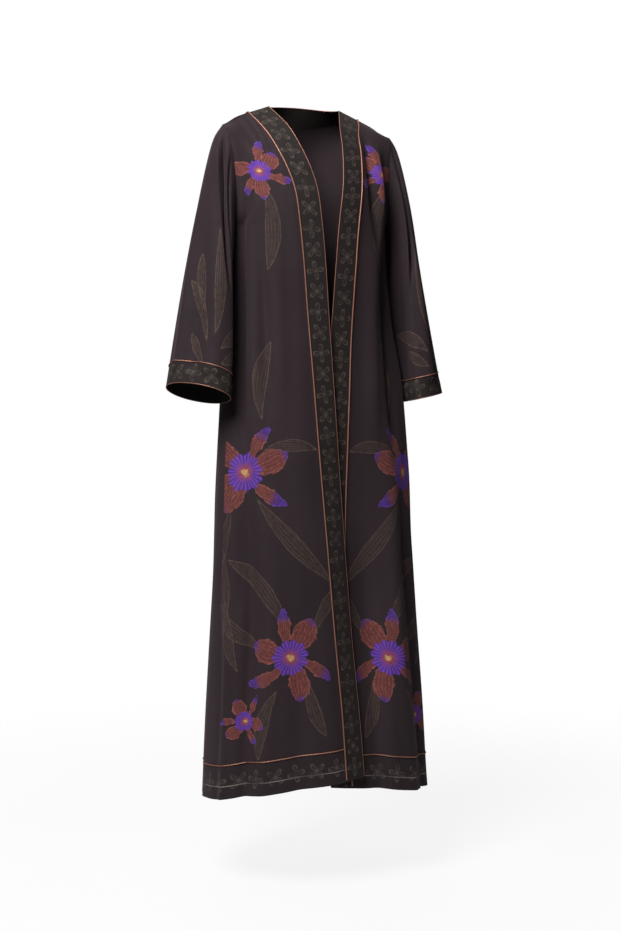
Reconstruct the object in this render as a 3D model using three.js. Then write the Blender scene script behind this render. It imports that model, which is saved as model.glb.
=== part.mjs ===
// A long open-front cloak (abaya) with set-in wide sleeves, as one hollow worn garment.
// Millimetres. x runs to the wearer's left, y to the back, z up. The surfaces are worked out
// with z = 0 at the neck end of the shoulder seams, then moved so that the nape is the origin.
import * as THREE from 'three';

// ---- cloth and trim -------------------------------------------------------------------------
const WALL = 1.6;
const SEAM_GAP = 0.3;
const INNER_INSET = 2;
const BAND_WIDTH = 46;
const HEM_BAND_HEIGHT = 68;
const CUFF_HEIGHT = 43;
const PIPING_RADIUS = 1.5;
const EDGE_PIPING_RADIUS = 1.1;
const PIPING_LIFT = 0.5;
const PIPING_STOP = 3;
const CORD_END = 1.5;

// ---- body -----------------------------------------------------------------------------------
const UNDERARM_Z = -245;
const LAP_STEP = 10;
const LAP_START_Z = -300;
const LAP_FULL_Z = -520;
const LAP_FLAT = 70;
const LAP_REACH = 180;
const TURN_BACK_REACH = 75;

const SECTIONS = [
  { z: -245, half_width: 172, front: -114, back: 100, side_y: -8, fullness: 2.15, side_turn: 90 },
  { z: -420, half_width: 181, front: -121, back: 101, side_y: -13, fullness: 2.1, side_turn: 86 },
  { z: -580, half_width: 196, front: -136, back: 102, side_y: -20, fullness: 2.1, side_turn: 83 },
  { z: -720, half_width: 206, front: -151, back: 105, side_y: -24, fullness: 2.1, side_turn: 82 },
  { z: -860, half_width: 214, front: -167, back: 112, side_y: -30, fullness: 2.1, side_turn: 82 },
  { z: -1000, half_width: 222, front: -182, back: 120, side_y: -34, fullness: 2.1, side_turn: 82 },
  { z: -1140, half_width: 230, front: -198, back: 129, side_y: -37, fullness: 2.1, side_turn: 82 },
  { z: -1260, half_width: 237, front: -212, back: 137, side_y: -39, fullness: 2.1, side_turn: 82 },
  { z: -1420, half_width: 245, front: -229, back: 146, side_y: -41, fullness: 2.1, side_turn: 82 },
];

const FRONT_EDGES = [
  { z: 0, right_x: -87, left_x: 75, depth_y: 0, turn_back: 0 },
  { z: -37, right_x: -70, left_x: 54, depth_y: -45, turn_back: 0 },
  { z: -90, right_x: -51, left_x: 43, depth_y: -80, turn_back: 0 },
  { z: -155, right_x: -32, left_x: 33, depth_y: -103, turn_back: 0 },
  { z: -245, right_x: -21, left_x: 18, depth_y: -114, turn_back: 0 },
  { z: -330, right_x: -14, left_x: 10, depth_y: -117, turn_back: 1 },
  { z: -420, right_x: -9, left_x: 4, depth_y: -121, turn_back: 3 },
  { z: -540, right_x: -3, left_x: -4, depth_y: -131, turn_back: 7 },
  { z: -670, right_x: 2, left_x: -14, depth_y: -146, turn_back: 11 },
  { z: -815, right_x: 8, left_x: -25, depth_y: -162, turn_back: 17 },
  { z: -930, right_x: 13, left_x: -32, depth_y: -175, turn_back: 21 },
  { z: -1080, right_x: 19, left_x: -38, depth_y: -191, turn_back: 22 },
  { z: -1210, right_x: 25, left_x: -41, depth_y: -206, turn_back: 20 },
  { z: -1310, right_x: 27, left_x: -42, depth_y: -217, turn_back: 16 },
  { z: -1420, right_x: 29, left_x: -42, depth_y: -229, turn_back: 14 },
];

const SHOULDERS = {
  right: { x: -190, y: 5, z: -34 },
  left: { x: 190, y: 5, z: -44 },
};

// Armhole from the shoulder point down to the underarm; x is measured outward from the centre.
const ARMHOLE_FRONT = [
  { t: 0.1, x: 188, y: -14, z: -48 },
  { t: 0.22, x: 182, y: -25, z: -77 },
  { t: 0.45, x: 175, y: -30, z: -131 },
  { t: 0.7, x: 172, y: -30, z: -186 },
  { t: 0.88, x: 171, y: -23, z: -226 },
];
const ARMHOLE_BACK = [
  { t: 0.1, x: 188, y: 24, z: -48 },
  { t: 0.22, x: 183, y: 40, z: -79 },
  { t: 0.45, x: 177, y: 48, z: -133 },
  { t: 0.7, x: 174, y: 45, z: -188 },
  { t: 0.88, x: 172, y: 23, z: -228 },
];

// Hem height below the shoulder, from the centre front (0) over the side seam (1) to the centre back (2).
const HEM_LINE = [
  { at: 0, right_z: -1351, left_z: -1368 },
  { at: 0.3, right_z: -1361, left_z: -1383 },
  { at: 0.7, right_z: -1380, left_z: -1403 },
  { at: 1, right_z: -1398, left_z: -1413 },
  { at: 2, right_z: -1411, left_z: -1411 },
];

const NAPE_Y = 62;
const NAPE_Z = 8;
const NAPE_BAND_RISE = -0.89;
const BACK_SHOULDER_TANGENT = 190;
const BACK_CORNER_FALL = 0.58;
const BACK_CORNER_OUT = 0.35;

// A fold fades in over this share of its length at the top, and out over the other at the bottom.
const FOLD_START = 0.35;
const FOLD_END = 0.3;
// Share of a panel's width by each seam where folds die out.
const SEAM_FADE = 0.08;

// Long soft folds: at is the share of the panel's width from its front seam, depth is outward.
const FOLDS = [
  { panel: 'front_right', at: 0.5, width: 0.16, depth: 6, top: -120, bottom: -620 },
  { panel: 'front_right', at: 0.82, width: 0.09, depth: -8, top: -150, bottom: -720 },
  { panel: 'front_right', at: 0.52, width: 0.09, depth: -7, top: -480, bottom: -860 },
  { panel: 'front_right', at: 0.8, width: 0.1, depth: -10, top: -640, bottom: -1500 },
  { panel: 'front_right', at: 0.28, width: 0.14, depth: 7, top: -700, bottom: -1600 },
  { panel: 'front_left', at: 0.42, width: 0.14, depth: 7, top: -110, bottom: -700 },
  { panel: 'front_left', at: 0.72, width: 0.1, depth: -10, top: -130, bottom: -700 },
  { panel: 'front_left', at: 0.6, width: 0.1, depth: -11, top: -640, bottom: -1600 },
  { panel: 'front_left', at: 0.22, width: 0.1, depth: -8, top: -820, bottom: -1600 },
  { panel: 'back', at: 0.3, width: 0.07, depth: -11, top: -420, bottom: -1600 },
  { panel: 'back', at: 0.5, width: 0.08, depth: 8, top: -360, bottom: -1600 },
  { panel: 'back', at: 0.71, width: 0.07, depth: -12, top: -480, bottom: -1600 },
];

// ---- sleeves --------------------------------------------------------------------------------
const CUFFS = {
  right: { x: -256, y: -29, z: -580, rise_out: 0.45, rise_back: -0.2 },
  left: { x: 256, y: -29, z: -594, rise_out: 0.2, rise_back: -0.1 },
};
const CUFF_LONG = 78;
const CUFF_SHORT = 44;
const CUFF_TURN = 0.447;
// How each line of a sleeve leaves the armhole, by its angle from the outer edge over the front.
const SLEEVE_START = [
  { angle: 0, out: 0.62, forward: 0.02, down: 0.78, reach: 0.3 },
  { angle: 90, out: 0.5, forward: 0.42, down: 0.75, reach: 0.5 },
  { angle: 180, out: 0.08, forward: 0, down: 1, reach: 0.7 },
  { angle: 270, out: 0.5, forward: -0.42, down: 0.75, reach: 0.5 },
  { angle: 360, out: 0.62, forward: 0.02, down: 0.78, reach: 0.3 },
];
const SLEEVE_END = { out: 0.2, forward: 0.06, down: 1, reach: 0.8 };
// The sleeve stays this far from the body's side below the underarm; the distance grows, and the
// sleeve is moved out, over these shares of its length, from this far above the underarm's level.
const SLEEVE_CLEARANCE = 4;
const CLEARANCE_GROWS = 0.12;
const CLEARANCE_BLEND = 0.08;
const CLEARANCE_ABOVE = 20;
const SLEEVE_FOLDS = [
  { side: 'right', at: 150, width: 20, depth: -10, top: 0.15, bottom: 1.4 },
  { side: 'right', at: 35, width: 16, depth: 5, top: 0.3, bottom: 1.5 },
  { side: 'right', at: 235, width: 24, depth: -8, top: 0.2, bottom: 1.4 },
  { side: 'left', at: 140, width: 22, depth: -9, top: 0.1, bottom: 1.4 },
  { side: 'left', at: 60, width: 20, depth: 5, top: 0.25, bottom: 1.5 },
  { side: 'left', at: 235, width: 24, depth: -8, top: 0.2, bottom: 1.4 },
];

// ---- facets ---------------------------------------------------------------------------------
const UPPER_ROWS = 8;
const SKIRT_ROWS = 14;
const HEM_ROWS = 1;
const FRONT_COLUMNS = 12;
const BACK_NECK_COLUMNS = 4;
const BACK_SHOULDER_COLUMNS = 5;
const SLEEVE_ROWS = 12;
const SLEEVE_COLUMNS = 2 * UPPER_ROWS;

// ---- plain maths ----------------------------------------------------------------------------
const V = (x, y, z) => new THREE.Vector3(x, y, z);
const clamp = (value, low, high) => Math.min(high, Math.max(low, value));
const mix = (a, b, t) => a + (b - a) * t;
const smooth = (from, to, value) => {
  const t = clamp((value - from) / (to - from), 0, 1);
  return t * t * (3 - 2 * t);
};
const radians = (degrees) => degrees * Math.PI / 180;
const outward = { right: -1, left: 1 };

// Smooth curve through a table's rows: key is the column it runs along, column the value wanted.
function tableValue(rows, key, column, at) {
  const last = rows.length - 1;
  const rising = rows[last][key] > rows[0][key];
  let i = 0;
  while (i < last - 1 && (rising ? at >= rows[i + 1][key] : at <= rows[i + 1][key])) i += 1;
  const slope = (k) => (rows[k + 1][column] - rows[k][column]) / (rows[k + 1][key] - rows[k][key]);
  const tangent = (k) => {
    if (k === 0) return slope(0);
    if (k === last) return slope(last - 1);
    const before = Math.abs(rows[k][key] - rows[k - 1][key]);
    const after = Math.abs(rows[k + 1][key] - rows[k][key]);
    return (slope(k - 1) * after + slope(k) * before) / (before + after);
  };
  const span = rows[i + 1][key] - rows[i][key];
  const s = (at - rows[i][key]) / span;
  return hermite(rows[i][column], tangent(i) * span, rows[i + 1][column], tangent(i + 1) * span, s);
}

function hermite(p0, m0, p1, m1, s) {
  return (2 * s ** 3 - 3 * s ** 2 + 1) * p0 + (s ** 3 - 2 * s ** 2 + s) * m0
    + (3 * s ** 2 - 2 * s ** 3) * p1 + (s ** 3 - s ** 2) * m1;
}

function hermiteCurve(p0, m0, p1, m1, s) {
  return V(hermite(p0.x, m0.x, p1.x, m1.x, s), hermite(p0.y, m0.y, p1.y, m1.y, s),
    hermite(p0.z, m0.z, p1.z, m1.z, s));
}

// ---- body section ---------------------------------------------------------------------------
// turn runs from 0 at the centre front over a quarter at the side to a half at the centre back.
function sectionPoint(z, turn) {
  const halfWidth = tableValue(SECTIONS, 'z', 'half_width', z);
  const sideY = tableValue(SECTIONS, 'z', 'side_y', z);
  const power = 2 / tableValue(SECTIONS, 'z', 'fullness', z);
  const front = sideY - tableValue(SECTIONS, 'z', 'front', z);
  const back = tableValue(SECTIONS, 'z', 'back', z) - sideY;
  const s = Math.sin(turn);
  const c = Math.cos(turn);
  const depth = c > 0 ? front : back;
  return V(halfWidth * Math.sign(s) * Math.abs(s) ** power,
    sideY - depth * Math.sign(c) * Math.abs(c) ** power, z);
}

function edgeTurn(side, z) {
  const x = tableValue(FRONT_EDGES, 'z', side + '_x', z);
  const halfWidth = tableValue(SECTIONS, 'z', 'half_width', z);
  const power = tableValue(SECTIONS, 'z', 'fullness', z) / 2;
  return Math.sign(x) * Math.asin(Math.abs(x / halfWidth) ** power);
}

const hemHeight = (side, at) => tableValue(HEM_LINE, 'at', side + '_z', clamp(at, 0, 2));
const levelAt = (side, down, at) => mix(UNDERARM_Z, hemHeight(side, at), down);
const sideTurn = (side, down) => radians(tableValue(SECTIONS, 'z', 'side_turn', levelAt(side, down, 1)));

// Lower body: down runs from 0 at the underarm to 1 at the hem; across from the front edge to the side.
function skirtFront(side, down, across) {
  const start = edgeTurn(side, levelAt(side, down, 0));
  const turn = mix(start, outward[side] * sideTurn(side, down), across);
  return sectionPoint(levelAt(side, down, across), turn);
}

// across runs from -1 at the right side seam over 0 at the centre back to 1 at the left side seam.
function skirtBack(down, across) {
  const side = across < 0 ? 'right' : 'left';
  const turn = outward[side] * mix(Math.PI, sideTurn(side, down), Math.abs(across));
  return sectionPoint(levelAt(side, down, 2 - Math.abs(across)), turn);
}

// ---- upper body -----------------------------------------------------------------------------
function neckPoint(side) {
  return V(FRONT_EDGES[0][side + '_x'], 0, 0);
}

function shoulderPoint(side) {
  return V(SHOULDERS[side].x, SHOULDERS[side].y, SHOULDERS[side].z);
}

function armholePoint(side, table, t) {
  const top = SHOULDERS[side];
  const under = sectionPoint(UNDERARM_Z, outward[side] * Math.PI / 2);
  const rows = [{ t: 0, x: Math.abs(top.x), y: top.y, z: top.z }, ...table,
    { t: 1, x: Math.abs(under.x), y: under.y, z: under.z }];
  return V(outward[side] * tableValue(rows, 't', 'x', t), tableValue(rows, 't', 'y', t),
    tableValue(rows, 't', 'z', t));
}

function frontEdgePoint(side, t) {
  const z = t * UNDERARM_Z;
  const low = sectionPoint(UNDERARM_Z, edgeTurn(side, UNDERARM_Z));
  const y = tableValue(FRONT_EDGES, 'z', 'depth_y', z);
  const endY = tableValue(FRONT_EDGES, 'z', 'depth_y', UNDERARM_Z);
  return V(tableValue(FRONT_EDGES, 'z', side + '_x', z), y + (low.y - endY) * t ** 2, z);
}

const STEP = 1e-3;
const forwardSlope = (curve, t) => curve(t + STEP).sub(curve(t)).multiplyScalar(1 / STEP);

// A skin between a top line and the underarm section, made to meet the two side lines exactly.
function skin(top, topSlope, low, lowSlope, innerSide, outerSide, u, t) {
  const at = (u0) => hermiteCurve(top(u0), topSlope(u0), low(u0), lowSlope(u0), t);
  const point = at(u);
  point.add(innerSide(t).sub(at(0)).multiplyScalar((1 - u) ** 3));
  point.add(outerSide(t).sub(at(1)).multiplyScalar(u ** 3));
  return point;
}

const fallSlope = (side, slope) => slope.multiplyScalar(UNDERARM_Z / (hemHeight(side, 1) - UNDERARM_Z));

function yokeFront(side, t, across) {
  const edge = (s) => frontEdgePoint(side, s);
  const armhole = (s) => armholePoint(side, ARMHOLE_FRONT, s);
  const top = (u) => neckPoint(side).lerp(shoulderPoint(side), u);
  const topSlope = (u) => forwardSlope(edge, 0).lerp(forwardSlope(armhole, 0), u);
  const low = (u) => skirtFront(side, 0, u);
  const lowSlope = (u) => fallSlope(side, forwardSlope((d) => skirtFront(side, d, u), 0));
  return skin(top, topSlope, low, lowSlope, edge, armhole, across, t);
}

// Ribbon round the back neck: round runs from 0 at the shoulder to 1 at the nape, out from 0 to 1.
function neckRibbon(side, round, out) {
  const angle = round * Math.PI / 2;
  const neck = neckPoint(side);
  const shoulder = shoulderPoint(side).sub(neck).normalize();
  const inner = V(neck.x * Math.cos(angle), NAPE_Y * Math.sin(angle), NAPE_Z * Math.sin(angle) ** 2);
  const fall = mix(shoulder.z, NAPE_BAND_RISE, Math.sin(angle) ** 2);
  const level = Math.sqrt(1 - fall ** 2);
  const heading = V(outward[side] * Math.cos(angle), Math.sin(angle), 0).normalize();
  const direction = V(heading.x * level, heading.y * level, fall).normalize();
  const bandDirection = direction.lerp(shoulder, (1 - round) ** 4).normalize();
  return inner.addScaledVector(bandDirection, BAND_WIDTH * out);
}

const BACK_CORNER = BACK_NECK_COLUMNS / (BACK_NECK_COLUMNS + BACK_SHOULDER_COLUMNS);

// across runs from 0 at the centre back to 1 at the armhole.
function yokeBackHalf(side, t, across) {
  const seamEnd = neckRibbon(side, 0, 1);
  const top = (u) => (u < BACK_CORNER
    ? neckRibbon(side, 1 - u / BACK_CORNER, 1)
    : seamEnd.clone().lerp(shoulderPoint(side), (u - BACK_CORNER) / (1 - BACK_CORNER)));
  const armhole = (s) => armholePoint(side, ARMHOLE_BACK, s);
  const fall = skirtBack(0, 0);
  const centre = (s) => {
    const start = neckRibbon(side, 1, 1);
    const leave = start.clone().sub(neckRibbon(side, 1, 0)).normalize();
    const end = fallSlope(side, forwardSlope((d) => skirtBack(d, 0), 0));
    return hermiteCurve(start, leave.multiplyScalar(BACK_SHOULDER_TANGENT), fall, end, s);
  };
  const level = Math.sqrt(1 - BACK_CORNER_FALL ** 2 - BACK_CORNER_OUT ** 2);
  const corner = V(outward[side] * BACK_CORNER_OUT, level, -BACK_CORNER_FALL)
    .multiplyScalar(BACK_SHOULDER_TANGENT);
  const topSlope = (u) => (u < BACK_CORNER
    ? forwardSlope(centre, 0).lerp(corner, u / BACK_CORNER)
    : corner.clone().lerp(forwardSlope(armhole, 0), (u - BACK_CORNER) / (1 - BACK_CORNER)));
  const low = (u) => skirtBack(0, outward[side] * u);
  const lowSlope = (u) => fallSlope(side, forwardSlope((d) => skirtBack(d, outward[side] * u), 0));
  return skin(top, topSlope, low, lowSlope, centre, armhole, across, t);
}

// ---- whole rows, measured by length -----------------------------------------------------------
// down below 0 lies in the yoke (-1 at the shoulder), from 0 to 1 in the skirt.
const ROW_SAMPLES = 60;
const rowStore = new Map();

function frontRaw(side, down, across) {
  return down < 0 ? yokeFront(side, down + 1, across) : skirtFront(side, down, across);
}

function frontRow(side, down) {
  const key = side + down.toFixed(9);
  if (!rowStore.has(key)) {
    const lengths = [0];
    let before = frontRaw(side, down, 0);
    for (let i = 1; i <= ROW_SAMPLES; i += 1) {
      const point = frontRaw(side, down, i / ROW_SAMPLES);
      lengths.push(lengths[i - 1] + point.distanceTo(before));
      before = point;
    }
    const away = frontRaw(side, down, STEP).sub(frontRaw(side, down, 0)).normalize();
    const low = down < 0 ? Math.max(down, -1 + STEP) : down;
    const along = frontRaw(side, low + STEP, 0).sub(frontRaw(side, low - STEP, 0)).normalize();
    const square = Math.sqrt(1 - away.dot(along) ** 2);
    rowStore.set(key, { lengths, seam: BAND_WIDTH / square });
  }
  return rowStore.get(key);
}

// place runs from -1 at the front edge over 0 at the band seam to 1 at the side seam or armhole.
function frontBase(side, down, place) {
  const row = frontRow(side, down);
  const total = row.lengths[ROW_SAMPLES];
  const wanted = place < 0 ? row.seam * (1 + place) : mix(row.seam, total, place);
  let i = 0;
  while (i < ROW_SAMPLES - 1 && row.lengths[i + 1] < wanted) i += 1;
  const part = (wanted - row.lengths[i]) / (row.lengths[i + 1] - row.lengths[i]);
  const point = frontRaw(side, down, (i + part) / ROW_SAMPLES);
  const turnBack = point.z < UNDERARM_Z ? tableValue(FRONT_EDGES, 'z', 'turn_back', point.z) : 0;
  if (side === 'left') {
    const step = turnBack + LAP_STEP * smooth(LAP_START_Z, LAP_FULL_Z, point.z);
    point.y += step * smooth(LAP_REACH, LAP_FLAT, wanted);
  } else {
    point.y += turnBack * clamp(1 - wanted / TURN_BACK_REACH, 0, 2) ** 1.5;
  }
  return point;
}

function foldDepth(panel, place, z) {
  let depth = 0;
  for (const fold of FOLDS) {
    if (fold.panel !== panel) continue;
    const length = fold.top - fold.bottom;
    const along = smooth(fold.top, fold.top - FOLD_START * length, z)
      * (1 - smooth(fold.bottom + FOLD_END * length, fold.bottom, z));
    depth += fold.depth * along * Math.exp(-(((place - fold.at) / fold.width) ** 2));
  }
  return depth;
}

function shifted(base, a, b, depth) {
  const point = base(a, b);
  if (depth === 0) return point;
  const across = base(a + STEP, b).sub(base(a - STEP, b));
  const out = V(across.y, -across.x, 0).normalize();
  if (out.dot(V(point.x, point.y, 0)) < 0) out.negate();
  return point.addScaledVector(out, depth);
}

const edgeFade = (place) => smooth(0, SEAM_FADE, place) * smooth(1, 1 - SEAM_FADE, place);

function frontSurface(side) {
  const base = (place, down) => frontBase(side, down, place);
  return (place, down) => {
    const z = base(place, down).z;
    const depth = place <= 0 ? 0 : foldDepth('front_' + side, place, z) * edgeFade(place);
    return shifted(base, place, down, depth);
  };
}

// Band surface: run below 0 goes round the back neck (-1 at the nape), from 0 to 1 down the front.
const bandSplit = UPPER_ROWS / (UPPER_ROWS + SKIRT_ROWS + HEM_ROWS);
const runToDown = (run) => (run < bandSplit ? run / bandSplit - 1 : (run - bandSplit) / (1 - bandSplit));
const downToRun = (down) => (down < 0 ? (down + 1) * bandSplit : mix(bandSplit, 1, down));

function bandSurface(side) {
  const front = frontSurface(side);
  return (place, run) => (run < 0 ? neckRibbon(side, -run, 1 + place) : front(place, runToDown(run)));
}

// place runs from -1 at the right side over 0 at the centre back to 1 at the left side.
function backSurface(place, down) {
  const base = (a, b) => (b < 0
    ? yokeBackHalf(a < 0 ? 'right' : 'left', b + 1, Math.abs(a))
    : skirtBack(b, a));
  const depth = foldDepth('back', (place + 1) / 2, base(place, down).z) * edgeFade((place + 1) / 2);
  return shifted(base, place, down, down < 0 ? 0 : depth);
}

// ---- sleeves --------------------------------------------------------------------------------
function cuffPoint(side, angle) {
  const cuff = CUFFS[side];
  const sign = outward[side];
  const across = CUFF_SHORT * Math.cos(angle);
  const forward = CUFF_LONG * Math.sin(angle);
  const dx = sign * (across * Math.cos(CUFF_TURN) - forward * Math.sin(CUFF_TURN));
  const dy = -across * Math.sin(CUFF_TURN) - forward * Math.cos(CUFF_TURN);
  return V(cuff.x + dx, cuff.y + dy, cuff.z + cuff.rise_out * dx * sign + cuff.rise_back * dy);
}

function sleeveLine(side, turn) {
  const degrees = ((turn % 360) + 360) % 360;
  const part = degrees / 180;
  const start = part <= 1 ? armholePoint(side, ARMHOLE_FRONT, part) : armholePoint(side, ARMHOLE_BACK, 2 - part);
  const end = cuffPoint(side, radians(degrees));
  const reach = start.distanceTo(end);
  const value = (column) => tableValue(SLEEVE_START, 'angle', column, degrees);
  const leave = V(outward[side] * value('out'), -value('forward'), -value('down')).normalize()
    .multiplyScalar(reach * value('reach'));
  const arrive = V(outward[side] * SLEEVE_END.out, -SLEEVE_END.forward, -SLEEVE_END.down).normalize()
    .multiplyScalar(reach * SLEEVE_END.reach);
  return (s) => hermiteCurve(start, leave, end, arrive, s);
}

const lineStore = new Map();
function sleeveStored(side, turn) {
  const key = side + turn.toFixed(6);
  if (!lineStore.has(key)) {
    const line = sleeveLine(side, turn);
    const lengths = [0];
    for (let i = 1; i <= ROW_SAMPLES; i += 1) {
      lengths.push(lengths[i - 1] + line(i / ROW_SAMPLES).distanceTo(line((i - 1) / ROW_SAMPLES)));
    }
    lineStore.set(key, { line, lengths });
  }
  return lineStore.get(key);
}

// down runs from 0 at the armhole to 1 at the cuff seam, and to 2 at the cuff's end.
function sleeveBase(side, turn, down) {
  const { line, lengths } = sleeveStored(side, turn);
  const total = lengths[ROW_SAMPLES];
  const seam = total - CUFF_HEIGHT;
  const wanted = down <= 1 ? seam * down : mix(seam, total, down - 1);
  let i = 0;
  while (i < ROW_SAMPLES - 1 && lengths[i + 1] < wanted) i += 1;
  const part = (wanted - lengths[i]) / (lengths[i + 1] - lengths[i]);
  const point = line((i + part) / ROW_SAMPLES);
  const level = clamp(point.z, SECTIONS[SECTIONS.length - 1].z, UNDERARM_Z);
  const sideX = tableValue(SECTIONS, 'z', 'half_width', level);
  const limit = sideX + SLEEVE_CLEARANCE * smooth(0, CLEARANCE_GROWS, down);
  if (point.z < UNDERARM_Z + CLEARANCE_ABOVE && Math.abs(point.x) < limit && down > 0) {
    point.x = outward[side] * mix(Math.abs(point.x), limit, smooth(0, CLEARANCE_BLEND, down));
  }
  return point;
}

function sleeveSurface(side) {
  const base = (turn, down) => sleeveBase(side, turn, down);
  return (turn, down) => {
    const degrees = ((turn % 360) + 360) % 360;
    let depth = 0;
    for (const fold of SLEEVE_FOLDS) {
      if (fold.side !== side) continue;
      const length = fold.bottom - fold.top;
      const along = smooth(fold.top, fold.top + FOLD_START * length, down)
        * (1 - smooth(fold.bottom - FOLD_END * length, fold.bottom, down));
      depth += fold.depth * along * Math.exp(-(((degrees - fold.at) / fold.width) ** 2));
    }
    const point = base(turn, down);
    if (depth === 0) return point;
    const across = base(turn + 0.5, down).sub(base(turn - 0.5, down));
    const along = base(turn, down + STEP).sub(base(turn, down - STEP));
    const out = across.cross(along).normalize().multiplyScalar(outward[side]);
    return point.addScaledVector(out, depth);
  };
}

// ---- solids ---------------------------------------------------------------------------------
// Normal of a surface, turned to the side that `outside` says is out.
function normalAt(surface, a, b, stepA, stepB, facing) {
  const alongA = surface(a + stepA, b).sub(surface(a - stepA, b));
  const alongB = surface(a, b + stepB).sub(surface(a, b - stepB));
  return alongA.cross(alongB).normalize().multiplyScalar(facing);
}

function meshFrom(name, points, triangles) {
  const geometry = new THREE.BufferGeometry();
  geometry.setAttribute('position', new THREE.Float32BufferAttribute(points.flatMap((p) => [p.x, p.y, p.z]), 3));
  geometry.setIndex(triangles);
  geometry.computeVertexNormals();
  const mesh = new THREE.Mesh(geometry, new THREE.MeshStandardMaterial());
  mesh.name = name;
  return mesh;
}

// Cloth wall on a surface. as and bs list the surface's two measures; step says how small their
// differences are; facing is 1 or -1 so that the normal points out of the garment.
function clothWall(name, surface, as, bs, { stepA, stepB, facing, closed = false }) {
  const countA = as.length;
  const countB = bs.length;
  const points = [];
  for (const layer of [0, 1]) {
    const inset = SEAM_GAP / 2 + layer * INNER_INSET;
    for (let i = 0; i < countA; i += 1) {
      for (let j = 0; j < countB; j += 1) {
        let a = as[i];
        let b = bs[j];
        const normal = normalAt(surface, nudge(as, i, stepA, closed), nudge(bs, j, stepB, false), stepA, stepB, facing);
        if (!closed && (i === 0 || i === countA - 1)) {
          const inward = i === 0 ? 1 : -1;
          const speed = surface(a + inward * stepA, b).distanceTo(surface(a, b)) / stepA;
          a += inward * inset / speed;
        }
        if (j === 0 || j === countB - 1) {
          const inward = j === 0 ? 1 : -1;
          const speed = surface(a, b + inward * stepB).distanceTo(surface(a, b)) / stepB;
          b += inward * inset / speed;
        }
        points.push(surface(a, b).addScaledVector(normal, -WALL * layer));
      }
    }
  }
  const id = (layer, i, j) => layer * countA * countB + (i % countA) * countB + j;
  const triangles = [];
  const quad = (a, b, c, d) => triangles.push(a, b, c, a, c, d);
  const spansA = closed ? countA : countA - 1;
  for (let i = 0; i < spansA; i += 1) {
    for (let j = 0; j < countB - 1; j += 1) {
      quad(id(0, i, j), id(0, i + 1, j), id(0, i + 1, j + 1), id(0, i, j + 1));
      quad(id(1, i, j), id(1, i, j + 1), id(1, i + 1, j + 1), id(1, i + 1, j));
    }
    quad(id(0, i, 0), id(1, i, 0), id(1, i + 1, 0), id(0, i + 1, 0));
    quad(id(0, i, countB - 1), id(0, i + 1, countB - 1), id(1, i + 1, countB - 1), id(1, i, countB - 1));
  }
  if (!closed) {
    for (let j = 0; j < countB - 1; j += 1) {
      quad(id(0, 0, j), id(0, 0, j + 1), id(1, 0, j + 1), id(1, 0, j));
      quad(id(0, countA - 1, j), id(1, countA - 1, j), id(1, countA - 1, j + 1), id(0, countA - 1, j + 1));
    }
  }
  if (facing < 0) {
    for (let k = 0; k < triangles.length; k += 3) [triangles[k], triangles[k + 1]] = [triangles[k + 1], triangles[k]];
  }
  return meshFrom(name, points, triangles);
}

function nudge(list, index, step, closed) {
  if (closed) return list[index];
  if (index === 0) return list[0] + 2 * step;
  if (index === list.length - 1) return list[index] - 2 * step;
  return list[index];
}

// Cord along a line of points with an out direction at each, as a rod of four sides.
function cord(name, line, radius, closed = false) {
  const count = line.length;
  const points = [];
  line.forEach(({ at, out }, i) => {
    const before = line[closed ? (i + count - 1) % count : Math.max(i - 1, 0)].at;
    const after = line[closed ? (i + 1) % count : Math.min(i + 1, count - 1)].at;
    const along = after.clone().sub(before).normalize();
    const up = out.clone().addScaledVector(along, -out.dot(along)).normalize();
    const side = along.clone().cross(up);
    for (let k = 0; k < 4; k += 1) {
      const turn = k * Math.PI / 2;
      points.push(at.clone().addScaledVector(up, radius * Math.cos(turn)).addScaledVector(side, radius * Math.sin(turn)));
    }
  });
  const triangles = [];
  const spans = closed ? count : count - 1;
  for (let i = 0; i < spans; i += 1) {
    for (let k = 0; k < 4; k += 1) {
      const a = i * 4 + k;
      const b = i * 4 + (k + 1) % 4;
      const c = ((i + 1) % count) * 4 + (k + 1) % 4;
      const d = ((i + 1) % count) * 4 + k;
      triangles.push(a, b, c, a, c, d);
    }
  }
  if (!closed) {
    const e = (count - 1) * 4;
    triangles.push(0, 2, 1, 0, 3, 2, e, e + 1, e + 2, e, e + 2, e + 3);
  }
  return meshFrom(name, points, triangles);
}

// ---- lists of rows and columns --------------------------------------------------------------
const skirtLength = UNDERARM_Z - hemHeight('right', 1);
const HEM_SEAM = 1 - HEM_BAND_HEIGHT / skirtLength;
const yokeRows = Array.from({ length: UPPER_ROWS }, (_, i) => i / UPPER_ROWS - 1);
const skirtRows = Array.from({ length: SKIRT_ROWS + 1 }, (_, i) => HEM_SEAM * i / SKIRT_ROWS);
const hemRows = Array.from({ length: HEM_ROWS + 1 }, (_, i) => mix(HEM_SEAM, 1, i / HEM_ROWS));
const bodyRows = [...yokeRows, ...skirtRows];
const frontColumns = Array.from({ length: FRONT_COLUMNS + 1 }, (_, i) => i / FRONT_COLUMNS);
const backHalf = BACK_NECK_COLUMNS + BACK_SHOULDER_COLUMNS;
const backColumns = Array.from({ length: 2 * backHalf + 1 }, (_, i) => i / backHalf - 1);
const neckRuns = Array.from({ length: BACK_NECK_COLUMNS }, (_, i) => -1 + i / BACK_NECK_COLUMNS);
const bandRuns = [...neckRuns, ...bodyRows.map(downToRun), 1];
const sleeveTurns = Array.from({ length: SLEEVE_COLUMNS }, (_, i) => 360 * i / SLEEVE_COLUMNS);
const sleeveRows = Array.from({ length: SLEEVE_ROWS + 1 }, (_, i) => i / SLEEVE_ROWS);

const BODY_STEP = { stepA: 2e-3, stepB: 1e-3 };
const SLEEVE_STEP = { stepA: 0.5, stepB: 2e-3 };

// ---- assembly -------------------------------------------------------------------------------
const cloak = new THREE.Group();
cloak.name = 'abaya_cloak';

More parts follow.
